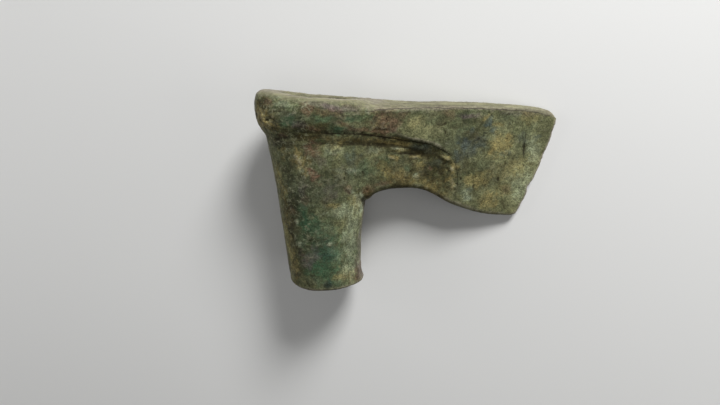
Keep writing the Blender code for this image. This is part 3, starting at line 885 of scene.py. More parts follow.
    def body(self, patch: Blob, points: np.ndarray, drift: np.ndarray, ragged: np.ndarray) -> np.ndarray:
        """Share of one patch at each point; a larger patch has a softer, more ragged border.

        Args:
            patch: The patch.
            points: Points in millimetres, one a row.
            drift: Two numbers a point that move the patch's border.
            ragged: One number a point that frays it.

        Returns:
            Numbers from 0 to 1.
        """
        size = min(patch.short / self.large_patch, 1.0)
        borders = (self.inner_border, self.outer_border)
        inner, outer = (np.interp(size, (0.0, 1.0), ends) for ends in borders)
        moved = points.copy()
        moved[:, :2] += self.drift_height * size * drift
        return Fade(outer, inner).at(patch.reach(moved) + self.ragged_share * size * ragged)

    def mask(self, mineral: Mineral, skin: Skin) -> np.ndarray:
        """Mask of one mineral: its patches and stains where it is shown, and loose clouds behind.

        Args:
            mineral: What to look up.
            skin: The casting's skin.

        Returns:
            Numbers from 0 to 1, one a point.
        """
        points = skin.points
        seed = self.first_seed + self.seeds_each * list(Mineral).index(mineral)
        drift = np.stack([Clouds(self.drift_grain, seed + k).at(points) for k in (0, 1)], axis=1)
        ragged = Clouds(self.ragged_grain, seed + 2).at(points)
        bare = np.ones(len(points))
        for patch in self.patches(mineral):
            bare *= 1.0 - patch.strength * self.body(patch, points, drift, ragged)
        whole = self.broken_stain + (1.0 - self.broken_stain) * self.stain_fade.at(ragged)
        for stain in self.stains():
            if stain.mineral is mineral:
                bare *= 1.0 - stain.strength * stain.profile(points) * whole
        shown = self.shown_height.at(points[:, 2])
        clouds = Clouds(self.loose_grain, seed + 3, self.loose_layers).at(points)
        amount = dict(self.hidden_amounts).get(mineral, self.hidden_amount)
        loose = amount * self.loose_fade.at(clouds + self.loose_ragged * ragged)
        return np.maximum((1.0 - bare) * shown, loose * (1.0 - self.less_when_shown * shown))


@dataclass(frozen=True)
class ShadeAndGrimeLines:
    """Thin dark lines of painted shade and some grime, in creases and under edges on the shown face, drawn
    with a slightly unsteady hand.
    """

    lines: HeadLines = HeadLines()
    sway: Sway = Sway((Clouds(3.0, 11, 2), Clouds(3.5, 12, 2)), (0.3, 0.3))
    least_shown: float = 0.05

    def hairlines(self) -> tuple[Hairline, ...]:
        """All the lines."""
        lines = self.lines
        crease = (0.1, 0.3, 0.3, 0.6, 0.8, 0.7, 0.9, 1.0, 1.0, 1.0, 0.8, 0.5, 0.5, 0.6, 0.5, 0.1)
        top = (0.6, 1.0, 1.0, 0.8, 1.0, 0.9, 0.8, 0.6, 0.5, 0.1)
        lump = ((31.5, 60.8), (32.2, 60.6), (38.4, 60.5), (43.7, 59.5))
        return (
            Hairline("line_crease", lines.crease, 0.34, crease),
            Hairline("line_ledge", lines.ledge, 0.40, (0.1, 0.5, 0.7, 0.5, 0.8, 0.9, 1.0, 0.8, 0.1)),
            Hairline("line_top", lines.top_border, 0.30, top),
            Hairline("line_end", lines.panel_end, 0.30, (0.1, 0.7, 1.0, 0.7, 0.9, 0.1)),
            Hairline("line_slot", lines.slot, 0.36, (0.1, 0.7, 0.6, 0.3, 0.9, 1.0, 1.0, 0.8, 0.1)),
            Hairline("line_lump", lump, 0.30, (0.1, 0.8, 1.0, 0.9, 0.6, 0.1)),
            Hairline("line_rim", lines.rim_dark_line, 0.26, (0.1, 0.5, 0.4, 1.0, 0.9, 0.5, 0.1)),
        )

    def gaps(self, skin: Skin) -> dict[str, np.ndarray]:
        """Distances to the lines, one set for each; on the other face they are too far to show."""
        moved = self.sway.move(skin.points)
        shown = np.maximum(skin.share_on(Face.SHOWN), self.least_shown)
        return {hairline.name: hairline.gap(moved) / shown for hairline in self.hairlines()}


@dataclass(frozen=True)
class Wear:
    """Where the casting is darker in hollows, rubbed, streaky or scratched, and where light and shade are
    painted on it.
    """

    lines: HeadLines = HeadLines()
    hole: HaftHole = HaftHole()
    fine_rounds: int = 8
    broad_rounds: int = 50
    fine_hollow: tuple[float, float] = (6.0, 0.6)
    broad_hollow: tuple[float, float] = (1.1, 0.5)
    fine_ridge: tuple[float, float] = (-6.0, 0.8)
    broad_ridge: tuple[float, float] = (-0.5, 0.2)
    less_darkening_in_mouth: float = 0.6
    less_darkening_at_crease_end: float = 0.65
    crease_end_width: float = 3.0
    faces_up: Fade = Fade(0.45, 0.85)
    collar_height: Fade = Fade(72.0, 78.0)
    blade_starts: Fade = Fade(24.0, 32.0)
    over_border: Fade = Fade(-1.2, -0.6)
    crown_corner: Fade = Fade(95.0, 101.0)
    corner_loss: float = 0.35
    # Where painted light beside the crease sets in and fades along X.
    flank_light_starts: Fade = Fade(16.0, 24.0)
    flank_light_ends: Fade = Fade(27.0, 34.0)
    flank_end_loss: float = 0.9
    under_starts: Fade = Fade(32.0, 40.0)
    under_share: float = 0.9
    off_crease: Fade = Fade(0.25, 0.7)
    near_crease: Fade = Fade(3.4, 2.0)
    both_end: Fade = Fade(58.0, 54.0)
    bead_height: Fade = Fade(63.0, 68.0)
    bead_ends: Fade = Fade(45.0, 30.0)
    steep: Fade = Fade(0.55, 0.15)
    steep_share: float = 0.45
    crown_loss: float = 0.85
    edge_starts: Fade = Fade(78.0, 88.0)
    edge_width: Fade = Fade(0.95, 0.35)
    lip_height: Fade = Fade(0.8, 0.3)
    lip_ends: Fade = Fade(20.0, 18.0)
    lip_share: float = 0.8
    off_underside: Fade = Fade(0.9, 0.6)
    scratched_side: Fade = Fade(2.0, -6.0)
    scratched_height: Fade = Fade(12.0, 28.0)
    least_scratched: float = 0.25
    upright_starts: Fade = Fade(4.0, 10.0)
    upright_ends: Fade = Fade(24.0, 17.0)
    upright_height: Fade = Fade(50.0, 38.0)
    rows: int = 120
    rows_below_rim: float = 5.0
    no_edge: float = -99.0

    def depths(self, skin: Skin) -> tuple[np.ndarray, np.ndarray]:
        """How hollow and how ridged each point lies.

        Args:
            skin: The casting's skin.

        Returns:
            Hollows and ridges, about 0 to 1.
        """
        fine, broad = skin.hollows(self.fine_rounds), skin.hollows(self.broad_rounds)

        def both(fine_part: tuple[float, float], broad_part: tuple[float, float]) -> np.ndarray:
            """Fine and broad depths together, each with its gain and its share."""
            parts = ((fine, fine_part), (broad, broad_part))
            return sum(share * np.clip(gain * depth, 0.0, 1.0) for depth, (gain, share) in parts)

        return both(self.fine_hollow, self.broad_hollow), both(self.fine_ridge, self.broad_ridge)

    def to_cutting_edge(self, skin: Skin) -> np.ndarray:
        """How far each point lies inside the cutting edge along X.

        Args:
            skin: The casting's skin.

        Returns:
            Distances in millimetres.
        """
        height = skin.points[:, 1] + self.rows_below_rim
        row = np.clip(np.round(height), 0, self.rows - 1).astype(np.int64)
        ends = np.full(self.rows, self.no_edge)
        np.maximum.at(ends, row, skin.points[:, 0])
        return np.interp(height, np.arange(self.rows), ends) - skin.points[:, 0]

    def flank(self, skin: Skin) -> np.ndarray:
        """Where light is painted beside the right half of the crease, on the collar's flank over it and on
        the shaded slope under it.

        Args:
            skin: The casting's skin.

        Returns:
            Numbers from 0 to 1.
        """
        x = skin.points[:, 0]
        away = distance_to_line(skin.points, self.lines.crease)[0]
        over = self.flank_light_starts.at(x) * (1.0 - self.flank_end_loss * self.flank_light_ends.at(x))
        over *= self.off_crease.at(away) * self.near_crease.at(away)
        under = self.under_share * self.under_starts.at(x)
        under *= self.off_crease.at(-away) * self.near_crease.at(-away)
        return (over + under) * self.both_end.at(x) * skin.share_on(Face.SHOWN)

    def rim(self, skin: Skin, crown_of_blade: np.ndarray, over: np.ndarray) -> np.ndarray:
        """Where steep borders, the cutting edge and the socket's lip are rubbed, and where a painted rim
        highlight runs along the outline.

        Args:
            skin: The casting's skin.
            crown_of_blade: Share of the blade's pale top at each point.
            over: Share of each point that lies over the top border's line.

        Returns:
            Numbers from 0 to 1.
        """
        x, y, _ = skin.points.T
        steep = self.steep_share * self.steep.at(np.abs(skin.normals[:, 2]))
        steep *= 1.0 - self.crown_loss * crown_of_blade
        edge = self.edge_starts.at(x) * self.edge_width.at(self.to_cutting_edge(skin)) * (1.0 - over)
        lip = self.lip_share * self.lip_height.at(y) * self.lip_ends.at(x)
        lip *= self.off_underside.at(-skin.normals[:, 1])
        return np.maximum.reduce((steep, edge, lip))

    def masks(self, skin: Skin, earth: np.ndarray) -> dict[str, np.ndarray]:
        """Every mask of wear, and the masks where light and shade are painted.

        Args:
            skin: The casting's skin.
            earth: Mask of the brown soil and painted shade, under which nothing is rubbed.

        Returns:
            Masks by name, one number a point.
        """
        x, y, _ = skin.points.T
        wall = self.hole.wall(skin)
        mouth = wall * self.hole.in_mouth(skin)
        outer = 1.0 - wall
        hollow, ridge = self.depths(skin)
        crease_end = bell(distance_to_line(skin.points, self.lines.crease_end())[0], self.crease_end_width)
        darkening_kept = (1.0 - self.less_darkening_in_mouth * mouth) * (1.0 - self.less_darkening_at_crease_end * crease_end)
        blade = self.blade_starts.at(x)
        over = self.over_border.at(distance_to_line(skin.points, self.lines.top_border)[0])
        # Crown: pale crust on the collar's upward faces and the blade's top band, partly a painted
        # highlight, as it is picked by facing up to the key light.
        collar_top = self.faces_up.at(skin.normals[:, 1]) * self.collar_height.at(y)
        crown = (collar_top * (1.0 - blade) + over * blade) * outer
        scratched = self.scratched_side.at(x) * self.scratched_height.at(y)
        return {
            "hollow": hollow * darkening_kept,
            "ridge": ridge * (1.0 - earth),
            "blade": blade,
            # The upper wall in the hole's mouth takes the crown colour as a painted highlight.
            "crown": np.maximum(crown * (1.0 - self.corner_loss * self.crown_corner.at(x)), mouth),
            # The hole's wall below its mouth takes painted shade.
            "bore": wall - mouth,
            "flank": self.flank(skin),
            "streaky": self.bead_height.at(y) * self.bead_ends.at(x) * outer,
            "rim": self.rim(skin, over * blade, over) * outer,
            "scratchy": self.least_scratched + (1.0 - self.least_scratched) * scratched,
            "upright": self.upright_starts.at(x) * self.upright_ends.at(x) * self.upright_height.at(y),
        }


@dataclass(frozen=True)
class Casting:
    """The axe head's casting: its skin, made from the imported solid, and what lies on it."""

    node: str = "axe_head"
    voxel: float = 0.6
    melt_rounds: int = 14
    drawing: Drawing = Drawing()
    relief: Relief = Relief()
    patina_map: PatinaMap = PatinaMap()
    shade_and_grime_lines: ShadeAndGrimeLines = ShadeAndGrimeLines()
    wear: Wear = Wear()

    def cast(self) -> Skin:
        """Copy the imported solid, give it an even skin of small quads and melt its facets.

        Returns:
            The skin, in the drawing.
        """
        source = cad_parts[self.node]
        copy = bpy.data.objects.new("rough_casting", source.data.copy())
        bpy.context.scene.collection.objects.link(copy)
        remesh = copy.modifiers.new("even_skin", "REMESH")
        remesh.mode = "VOXEL"
        remesh.voxel_size = self.voxel * MM
        graph = bpy.context.evaluated_depsgraph_get()
        mesh = bpy.data.meshes.new_from_object(copy.evaluated_get(graph))
        points = np.empty(len(mesh.vertices) * 3)
        mesh.vertices.foreach_get("co", points)
        faces = np.empty(len(mesh.loops), dtype=np.int64)
        mesh.loops.foreach_get("vertex_index", faces)
        skin = Skin(self.drawing.flatten(points.reshape(-1, 3)), faces.reshape(-1, 4))
        bpy.data.objects.remove(copy)
        bpy.data.meshes.remove(mesh)
        skin.smooth(self.melt_rounds)
        skin.find_normals()
        LOG.info("skin of %d points", len(skin.points))
        return skin

    def layers(self, skin: Skin) -> dict[str, np.ndarray]:
        """Everything that the patina reads from the mesh.

        Args:
            skin: The finished skin.

        Returns:
            Numbers by name, one a point.
        """
        masks = {mineral.value: self.patina_map.mask(mineral, skin) for mineral in Mineral}
        masks |= self.wear.masks(skin, masks[Mineral.EARTH.value])
        masks = {name: np.clip(values, 0.0, 1.0) for name, values in masks.items()}
        return masks | self.shade_and_grime_lines.gaps(skin)

    def finish_mesh(self, skin: Skin) -> bpy.types.Object:
        """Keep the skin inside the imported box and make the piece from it.

        Args:
            skin: The finished skin.

        Returns:
            The finished piece.
        """
        low, high = (np.array(corner) for corner in CAD_BOX)
        placed = np.clip(self.drawing.lay(skin.points), low, high)
        mesh = bpy.data.meshes.new("cast_axe_head")
        mesh.from_pydata(placed.tolist(), [], skin.faces.tolist())
        mesh.shade_smooth()
        for name, values in self.layers(skin).items():
            layer = mesh.attributes.new(name, "FLOAT", "POINT")
            layer.data.foreach_set("value", values.astype(np.float32))
        piece = bpy.data.objects.new("cast_axe_head", mesh)
        bpy.context.scene.collection.objects.link(piece)
        return piece

    def build(self, patina: "Patina") -> bpy.types.Object:
        """Make the piece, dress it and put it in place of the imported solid.

        Args:
            patina: Finish of the whole casting.

        Returns:
            The finished piece.
        """
        skin = self.cast()
        self.relief.work(skin)
        piece = self.finish_mesh(skin)
        piece.data.materials.append(patina.material())
        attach(piece, "root")
        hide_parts(self.node)
        return piece


@dataclass(frozen=True)
class Grain:
    """Noise in a finish: size of its largest blobs in millimetres, finer layers and stretch."""

    size: float
    detail: float = 4.0
    rough: float = 0.6
    stretch: float = 1.0


@dataclass(frozen=True)
class Answer:
    """How a share answers a value: the least of it up to low, the most of it from high."""

    low: float
    high: float
    least: float = 0.0
    most: float = 1.0


@dataclass(frozen=True)
class Flecks:
    """Flecks in a finish: a noise, and how they answer it."""

    grain: Grain
    answer: Answer


@dataclass(frozen=True)
class Curls:
    """Thin curled scratches: size in millimetres, half-thickness in the noise, and its place."""

    size: float
    thin: float
    place: float
    core: float = 0.3
    middle: float = 0.5
    detail: float = 1.0
    breaks: Answer = Answer(0.5, 0.6)
    breaks_size: float = 1.1
    breaks_detail: float = 2.0


class Nodes:
    """Short ways to add and link shader nodes."""

    def __init__(self, material: bpy.types.Material) -> None:
        """Empty the material's node tree.

        Args:
            material: Material whose tree is to be filled.
        """
        material.use_nodes = True
        self.tree = material.node_tree
        self.tree.nodes.clear()
        self.where = self.add("ShaderNodeTexCoord").outputs["Object"]

    def add(self, kind: str, **settings: object) -> bpy.types.Node:
        """Add a node of one kind with its settings."""
        made = self.tree.nodes.new(kind)
        for name, value in settings.items():
            setattr(made, name, value)
        return made

    def put(self, value: object, socket: bpy.types.NodeSocket) -> None:
        """Link an output to a socket, or set the socket to a plain value."""
        if isinstance(value, bpy.types.NodeSocket):
            self.tree.links.new(value, socket)
        else:
            socket.default_value = value

    def surface(self, **plain: float) -> bpy.types.Node:
        """Add the surface shader and its output.

        Args:
            plain: Plain values of the shader's sockets, by name with low lines for spaces.

        Returns:
            The shader.
        """
        shader = self.add("ShaderNodeBsdfPrincipled")
        output = self.add("ShaderNodeOutputMaterial")
        self.put(shader.outputs[0], output.inputs["Surface"])
        for name, value in plain.items():
            shader.inputs[name.replace("_", " ")].default_value = value
        return shader

    def mask(self, name: str) -> bpy.types.NodeSocket:
        """Value of one of the mesh's masks."""
        return self.add("ShaderNodeAttribute", attribute_name=name).outputs["Fac"]

    def noise(self, grain: Grain) -> bpy.types.NodeSocket:
        """Noise of one grain.

        Args:
            grain: Its blobs; stretch is how many times longer they are along X.

        Returns:
            Output from 0 to 1.
        """
        made = self.add("ShaderNodeTexNoise")
        mapping = self.add("ShaderNodeMapping", vector_type="POINT")
        mapping.inputs["Scale"].default_value = (1.0 / grain.stretch, 1.0, 1.0)
        self.put(self.where, mapping.inputs["Vector"])
        self.put(mapping.outputs["Vector"], made.inputs["Vector"])
        made.inputs["Scale"].default_value = 1.0 / (grain.size * MM)
        made.inputs["Detail"].default_value = grain.detail
        made.inputs["Roughness"].default_value = grain.rough
        return made.outputs["Fac"]

    def maths(self, operation: str, *values: object) -> bpy.types.NodeSocket:
        """Arithmetic on one value or two.

        Args:
            operation: Name of the operation.
            values: Values or outputs.

        Returns:
            The result.
        """
        made = self.add("ShaderNodeMath", operation=operation)
        for socket, value in zip(made.inputs, values):
            self.put(value, socket)
        return made.outputs[0]

    def times(self, first: object, second: object) -> bpy.types.NodeSocket:
        """Product of two values."""
        return self.maths("MULTIPLY", first, second)

    def answer(self, value: object, how: Answer) -> bpy.types.NodeSocket:
        """Share that answers a value.

        Args:
            value: Value or output.
            how: The range it is read in and what its ends become.

        Returns:
            The share.
        """
        made = self.add("ShaderNodeMapRange", interpolation_type="SMOOTHSTEP")
        for number, amount in enumerate((value, how.low, how.high, how.least, how.most)):
            self.put(amount, made.inputs[number])
        return made.outputs[0]

    def flecks(self, flecks: Flecks) -> bpy.types.NodeSocket:
        """Share or factor that flecks have at each place."""
        return self.answer(self.noise(flecks.grain), flecks.answer)

    def hairline(self, name: str) -> bpy.types.NodeSocket:
        """Share of a thin line, from the distance that the mesh carries for it."""
        return self.answer(self.maths("ABSOLUTE", self.mask(name)), Answer(0.3, 1.0, 1.0, 0.0))

    def curls(self, curls: Curls) -> bpy.types.NodeSocket:
        """Thin broken curls, like scratches.

        Args:
            curls: What they are like.

        Returns:
            Output from 0 to 1.
        """
        made = self.add("ShaderNodeTexNoise", noise_dimensions="4D")
        self.put(self.where, made.inputs["Vector"])
        made.inputs["W"].default_value = curls.place
        made.inputs["Scale"].default_value = 1.0 / (curls.size * MM)
        made.inputs["Detail"].default_value = curls.detail
        away = self.maths("ABSOLUTE", self.maths("SUBTRACT", made.outputs["Fac"], curls.middle))
        line = self.answer(away, Answer(curls.core * curls.thin, curls.thin, 1.0, 0.0))
        breaks = self.noise(Grain(curls.breaks_size * curls.size, curls.breaks_detail))
        return self.times(line, self.answer(breaks, curls.breaks))

    def blend(self, share: object, first: object, second: object) -> bpy.types.NodeSocket:
        """Lay a colour over another.

        Args:
            share: Share of the second colour.
            first: First colour or output.
            second: Second colour or output.

        Returns:
            The mixed colour.
        """
        made = self.add("ShaderNodeMix", data_type="RGBA")
        self.put(share, made.inputs["Factor"])
        for colour, socket in ((first, made.inputs[6]), (second, made.inputs[7])):
            self.put((*colour, 1.0) if isinstance(colour, tuple) else colour, socket)
        return made.outputs[2]

    def shade(self, share: object, colour: object, factor: object) -> bpy.types.NodeSocket:
        """Darken or lighten a colour by a factor.

        Args:
            share: How much of the factor is used.
            colour: Colour or output.
            factor: Factor or output.

        Returns:
            The shaded colour.
        """
        grey = self.add("ShaderNodeCombineColor")
        for socket in grey.inputs:
            self.put(factor, socket)
        made = self.add("ShaderNodeMix", data_type="RGBA", blend_type="MULTIPLY")
        for value, socket in zip((share, colour, grey.outputs[0]), (made.inputs[0], *made.inputs[6:8])):
            self.put(value, socket)
        return made.outputs[2]


@dataclass(frozen=True)
class Patina:
    """Finish of the casting: dull corroded bronze with soil and minerals on it, and light and shade painted
    into its colour.
    """

    olive: Colour = (0.077, 0.081, 0.041)
    # Crown colour: pale crust and painted highlight on the faces turned up to the light.
    crown: Colour = (0.166, 0.162, 0.100)
    crown_streak: Colour = (0.104, 0.095, 0.072)
    # Rim colour: wear on edges and a painted rim highlight along the outline.
    rim: Colour = (0.230, 0.200, 0.190)
    # Colour that darkens the hollows.
    hollow_darkening: Colour = (0.017, 0.013, 0.005)
    rubbed: Colour = (0.210, 0.195, 0.140)
    # Near-black painted shade inside the haft hole.
    hole: Colour = (0.022, 0.022, 0.015)
    scratch: Colour = (0.220, 0.225, 0.150)
    minerals: tuple[tuple[Mineral, Colour, float], ...] = (
        (Mineral.SLATE, (0.031, 0.041, 0.024), 0.92),
        (Mineral.KHAKI, (0.172, 0.174, 0.090), 0.8),
        (Mineral.EARTH, (0.038, 0.028, 0.008), 0.95),
        (Mineral.GREEN, (0.028, 0.070, 0.038), 0.88),
        (Mineral.VIOLET, (0.088, 0.062, 0.070), 0.8),
        (Mineral.BLUE, (0.027, 0.047, 0.056), 0.85),
        (Mineral.DARK, (0.016, 0.014, 0.005), 0.92),
        (Mineral.PALE, (0.230, 0.260, 0.180), 0.8),
        (Mineral.OCHRE, (0.190, 0.152, 0.060), 0.8),
        (Mineral.RED, (0.096, 0.060, 0.038), 0.92),
    )
    # Thin lines of painted shade, with some grime, in creases and under edges.
    lines: tuple[tuple[str, Colour, float], ...] = (
        ("line_crease", (0.014, 0.009, 0.004), 0.85),
        ("line_ledge", (0.026, 0.022, 0.010), 0.6),
        ("line_top", (0.040, 0.028, 0.028), 0.75),
        ("line_end", (0.018, 0.016, 0.008), 0.6),
        ("line_slot", (0.018, 0.016, 0.010), 0.7),
        ("line_lump", (0.018, 0.013, 0.006), 0.7),
        ("line_rim", (0.022, 0.021, 0.014), 0.7),
    )
    speckle: Grain = Grain(1.2, 4.0, 0.7)
    mineral_speckle: tuple[float, float] = (0.34, 0.58)
    mineral_least: float = 0.72
    crown_streaks: Flecks = Flecks(Grain(0.8, 4.0, 0.65, 12.0), Answer(0.40, 0.66, 0.0, 0.9))
    crown_blotches: Flecks = Flecks(Grain(3.0, 4.0, 0.6, 2.5), Answer(0.36, 0.64, 0.82, 1.18))
    crown_over_line: Answer = Answer(-0.5, 0.8)
    crown_under_stains: Answer = Answer(0.1, 0.7, 1.0, 0.4)
    crown_cover: float = 0.9
    calm_green: Answer = Answer(0.1, 0.8, 1.0, 0.75)
    flecks: tuple[Flecks, ...] = (
        Flecks(Grain(0.6, 3.0), Answer(0.34, 0.66, 0.74, 1.29)),
        Flecks(Grain(2.4, 3.0), Answer(0.34, 0.66, 0.83, 1.18)),
        Flecks(Grain(6.0, 3.0), Answer(0.34, 0.66, 0.80, 1.23)),
    )
    spots: Flecks = Flecks(Grain(1.0, 2.0, 0.5), Answer(0.30, 0.42, 0.70, 1.0))
    bead_streaks: Flecks = Flecks(Grain(1.0, 3.0, 0.6, 5.0), Answer(0.34, 0.66, 0.74, 1.3))
    upright_streaks: Flecks = Flecks(Grain(4.5, 3.0, 0.6, 0.2), Answer(0.36, 0.64, 0.78, 1.24))
    scratches: tuple[Curls, Curls] = (Curls(2.2, 0.045, 0.3), Curls(3.4, 0.03, 7.1))
    scratch_cover: float = 0.42
    darkening_in_hollows: Answer = Answer(0.05, 0.7, 0.0, 0.8)
    rubbed_ridges: Answer = Answer(0.1, 0.8, 0.0, 0.6)
    rubbed_speckle: Answer = Answer(0.38, 0.6, 0.35, 1.0)
    rim_speckle: Answer = Answer(0.35, 0.6, 0.5, 0.85)
    # Painted light: beside the crease the colour is brightened by up to this factor against the collar's
    # shadow.
    painted_flank_light: Answer = Answer(0.0, 1.0, 1.0, 1.7)
    hole_shade_cover: float = 0.75
    contrast: float = 1.09
    middle: float = 0.08
    roughness: Flecks = Flecks(Grain(1.4), Answer(0.3, 0.7, 0.62, 0.82))
    specular: float = 0.11
    fine_grain: Grain = Grain(0.5, 4.0, 0.7)
    fine_grain_share: float = 0.5
    coarse_grain: Grain = Grain(1.3, 4.0, 0.65)
    bump_strength: float = 0.8
    bump_height: float = 0.3

    def stained(self, nodes: Nodes, speckle: bpy.types.NodeSocket) -> bpy.types.NodeSocket:
        """Base colour with the minerals on it.

        Args:
            nodes: Tree to build in.
            speckle: Fine noise that breaks every mineral up.

        Returns:
            Colour output.
        """
        colour = self.olive
        for mineral, tint, most in self.minerals:
            grainy = nodes.answer(speckle, Answer(*self.mineral_speckle, self.mineral_least * most, most))
            colour = nodes.blend(nodes.times(nodes.mask(mineral.value), grainy), colour, tint)
        return colour

    def crowned(self, nodes: Nodes, colour: bpy.types.NodeSocket) -> bpy.types.NodeSocket:
        """Colour with the pale, streaky crown and blade top on it: partly a pale crust, partly a painted
        highlight on the faces turned up to the light, and a painted highlight on the upper wall in the
        hole's mouth.

        Args:
            nodes: Tree to build in.
            colour: Colour of the rest.

        Returns:
            Colour output.
        """
        crown = nodes.blend(nodes.flecks(self.crown_streaks), self.crown, self.crown_streak)
        crown = nodes.shade(1.0, crown, nodes.flecks(self.crown_blotches))
        over_line = nodes.answer(nodes.mask("line_top"), self.crown_over_line)
        off_blade = nodes.maths("SUBTRACT", 1.0, nodes.mask("blade"))
        over_line = nodes.maths("ADD", off_blade, nodes.times(nodes.mask("blade"), over_line))
        stains = nodes.maths("MAXIMUM", nodes.mask("red"), nodes.mask("violet"))
        share = nodes.times(nodes.times(nodes.mask("crown"), over_line), self.crown_cover)
        share = nodes.times(share, nodes.answer(stains, self.crown_under_stains))
        return nodes.blend(share, colour, crown)

    def mottled(self, nodes: Nodes, colour: bpy.types.NodeSocket) -> bpy.types.NodeSocket:
        """Colour with darker and lighter flecks, streaks and scratches.

        Args:
            nodes: Tree to build in.
            colour: Colour to break up.

        Returns:
            Colour output.
        """
        calm = nodes.answer(nodes.mask("green"), self.calm_green)
        for flecks in self.flecks:
            colour = nodes.shade(calm, colour, nodes.flecks(flecks))
        colour = nodes.shade(1.0, colour, nodes.flecks(self.spots))
        colour = nodes.shade(nodes.mask("streaky"), colour, nodes.flecks(self.bead_streaks))
        colour = nodes.shade(nodes.mask("upright"), colour, nodes.flecks(self.upright_streaks))
        scratches = nodes.maths("ADD", *(nodes.curls(curls) for curls in self.scratches))
        scratches = nodes.times(nodes.times(scratches, nodes.mask("scratchy")), self.scratch_cover)
        return nodes.blend(scratches, colour, self.scratch)

    def worn(
        self, nodes: Nodes, colour: bpy.types.NodeSocket, speckle: bpy.types.NodeSocket
    ) -> bpy.types.NodeSocket:
        """Colour darker in the hollows, with rubbed ridges, rubbed rims with a painted rim highlight, and
        painted light on the flank beside the crease.

        Args:
            nodes: Tree to build in.
            colour: Colour to wear.
            speckle: Fine noise that breaks the rubbed places up.

        Returns:
            Colour output.
        """
        hollow_darkening = nodes.answer(nodes.mask("hollow"), self.darkening_in_hollows)
        colour = nodes.blend(hollow_darkening, colour, self.hollow_darkening)
        rubbed = nodes.answer(nodes.mask("ridge"), self.rubbed_ridges)
        rubbed = nodes.times(rubbed, nodes.answer(speckle, self.rubbed_speckle))
        colour = nodes.blend(rubbed, colour, self.rubbed)
        # Rubbed edges with a painted rim highlight along the outline.
        rim = nodes.times(nodes.mask("rim"), nodes.answer(speckle, self.rim_speckle))
        colour = nodes.blend(rim, colour, self.rim)
        # Painted light on the flank beside the crease.
        return nodes.shade(1.0, colour, nodes.answer(nodes.mask("flank"), self.painted_flank_light))

    def lined(self, nodes: Nodes, colour: bpy.types.NodeSocket) -> bpy.types.NodeSocket:
        """Colour with the thin lines of painted shade and grime, and painted shade in the haft hole.

        Args:
            nodes: Tree to build in.
            colour: Colour of the rest.

        Returns:
            Colour output.
        """
        for name, tint, most in self.lines:
            colour = nodes.blend(nodes.times(nodes.hairline(name), most), colour, tint)
        # Painted shade inside the haft hole.
        return nodes.blend(nodes.times(nodes.mask("bore"), self.hole_shade_cover), colour, self.hole)

    def deepened(self, nodes: Nodes, colour: bpy.types.NodeSocket) -> bpy.types.NodeSocket:
        """Colour with a little more contrast round the middle tone.

        Args:
            nodes: Tree to build in.
            colour: Colour to change.

        Returns:
            Colour output.
        """
        curve = nodes.add("ShaderNodeGamma")
        nodes.put(colour, curve.inputs["Color"])
        curve.inputs["Gamma"].default_value = self.contrast
        return nodes.shade(1.0, curve.outputs[0], self.middle ** (1.0 - self.contrast))

    def colour(self, nodes: Nodes) -> bpy.types.NodeSocket:
        """Whole colour of the patina.

        Args:
            nodes: Tree to build in.

        Returns:
            Colour output.
        """
        speckle = nodes.noise(self.speckle)
        colour = self.crowned(nodes, self.mottled(nodes, self.stained(nodes, speckle)))
        return self.deepened(nodes, self.lined(nodes, self.worn(nodes, colour, speckle)))

    def material(self) -> bpy.types.Material:
        """The patina as a material.

        Returns:
            The material.
        """
        made = bpy.data.materials.new("patinated_bronze")
        nodes = Nodes(made)
        shader = nodes.surface(Metallic=0.0, Specular_IOR_Level=self.specular)
        nodes.put(self.colour(nodes), shader.inputs["Base Color"])
        nodes.put(nodes.flecks(self.roughness), shader.inputs["Roughness"])
        fine = nodes.times(nodes.noise(self.fine_grain), self.fine_grain_share)
        bump = nodes.add("ShaderNodeBump")
        bump.inputs["Strength"].default_value = self.bump_strength
        bump.inputs["Distance"].default_value = self.bump_height * MM
        nodes.put(nodes.maths("ADD", fine, nodes.noise(self.coarse_grain)), bump.inputs["Height"])
        nodes.put(bump.outputs[0], shader.inputs["Normal"])
        return made


@dataclass(frozen=True)
class Lamp:
    """A square soft light that faces the head: its place, the side of its square and its power."""

    name: str
    place: tuple[float, float, float]
    side: float
    power: float

    def hang(self) -> None:
        """Add the light to the scene."""
        lamp = bpy.data.lights.new(self.name, "AREA")
        lamp.size = self.side
        lamp.energy = self.power
        made = bpy.data.objects.new(self.name, lamp)
        spot = Vector(self.place)
        facing = (-spot).to_track_quat("-Z", "Y").to_matrix().to_4x4()
        made.matrix_world = Matrix.Translation(spot) @ facing
        bpy.context.scene.collection.objects.link(made)


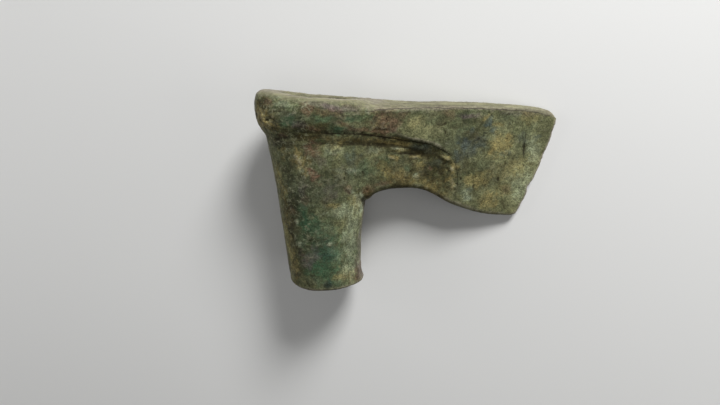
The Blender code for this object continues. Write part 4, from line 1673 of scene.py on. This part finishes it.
@dataclass(frozen=True)
class Studio:
    """Floor, soft lights and the camera."""

    drawing: Drawing = Drawing()
    aim: tuple[float, float, float] = (17.0, 37.2, 0.0)
    distance: float = 224.5
    lift: float = math.radians(14.5)
    view_height: float = math.radians(45.0)
    sensor: float = 24.0
    nearest: float = 0.01
    floor_side: float = 6.0
    floor_colour: Colour = (0.62, 0.62, 0.61)
    floor_roughness: float = 0.9
    floor_specular: float = 0.1
    glow: float = 0.10
    lamps: tuple[Lamp, ...] = (
        Lamp("key", (0.30, 0.64, 0.38), 0.26, 10.2),
        Lamp("fill", (0.10, -0.15, 0.80), 0.60, 0.8),
        Lamp("side", (0.72, -0.10, 0.30), 0.40, 1.0),
        Lamp("left", (-0.62, 0.10, 0.16), 0.40, 1.5),
    )

    def camera(self) -> None:
        """Put the camera where the photograph was taken from, looking down on the lying head."""
        back = Vector((0.0, math.sin(self.lift), math.cos(self.lift)))
        up = Vector((0.0, math.cos(self.lift), -math.sin(self.lift)))
        turn = Matrix((up.cross(back), up, back)).transposed().to_4x4()
        place = Matrix.Translation(Vector(self.aim) + back * self.distance)
        lens = bpy.data.cameras.new("camera")
        lens.sensor_fit = "VERTICAL"
        lens.sensor_height = self.sensor
        lens.lens = self.sensor / 2.0 / math.tan(self.view_height / 2.0)
        lens.clip_start = self.nearest
        made = bpy.data.objects.new("camera", lens)
        row = self.drawing.to_row() @ place @ turn
        made.matrix_world = Matrix.Translation(row.to_translation()) @ row.to_3x3().normalized().to_4x4()
        bpy.context.scene.collection.objects.link(made)
        bpy.context.scene.camera = made

    def floor(self) -> None:
        """Plain pale floor under the head."""
        form = bmesh.new()
        bmesh.ops.create_grid(form, x_segments=1, y_segments=1, size=self.floor_side / 2.0)
        mesh = bpy.data.meshes.new("floor")
        form.to_mesh(mesh)
        form.free()
        made = bpy.data.materials.new("floor")
        shader = Nodes(made).surface(Roughness=self.floor_roughness, Specular_IOR_Level=self.floor_specular)
        shader.inputs["Base Color"].default_value = (*self.floor_colour, 1.0)
        mesh.materials.append(made)
        ground = bpy.data.objects.new("floor", mesh)
        bpy.context.scene.collection.objects.link(ground)

    def build(self) -> None:
        """Set up the studio and the way that its picture is developed."""
        self.camera()
        self.floor()
        world = bpy.data.worlds.new("studio")
        world.use_nodes = True
        glow = world.node_tree.nodes["Background"]
        glow.inputs["Color"].default_value = (1.0, 1.0, 1.0, 1.0)
        glow.inputs["Strength"].default_value = self.glow
        bpy.context.scene.world = world
        for lamp in self.lamps:
            lamp.hang()
        view = bpy.context.scene.view_settings
        view.view_transform = "Standard"
        view.look = "None"


def main() -> None:
    """Build the studio and the axe head, and report each piece."""
    logging.basicConfig(level=logging.INFO, format="%(name)s: %(message)s")
    Studio().build()
    piece = Casting().build(Patina())
    LOG.info("%s has %d faces", piece.name, len(piece.data.polygons))


if __name__ == "__main__":
    main()
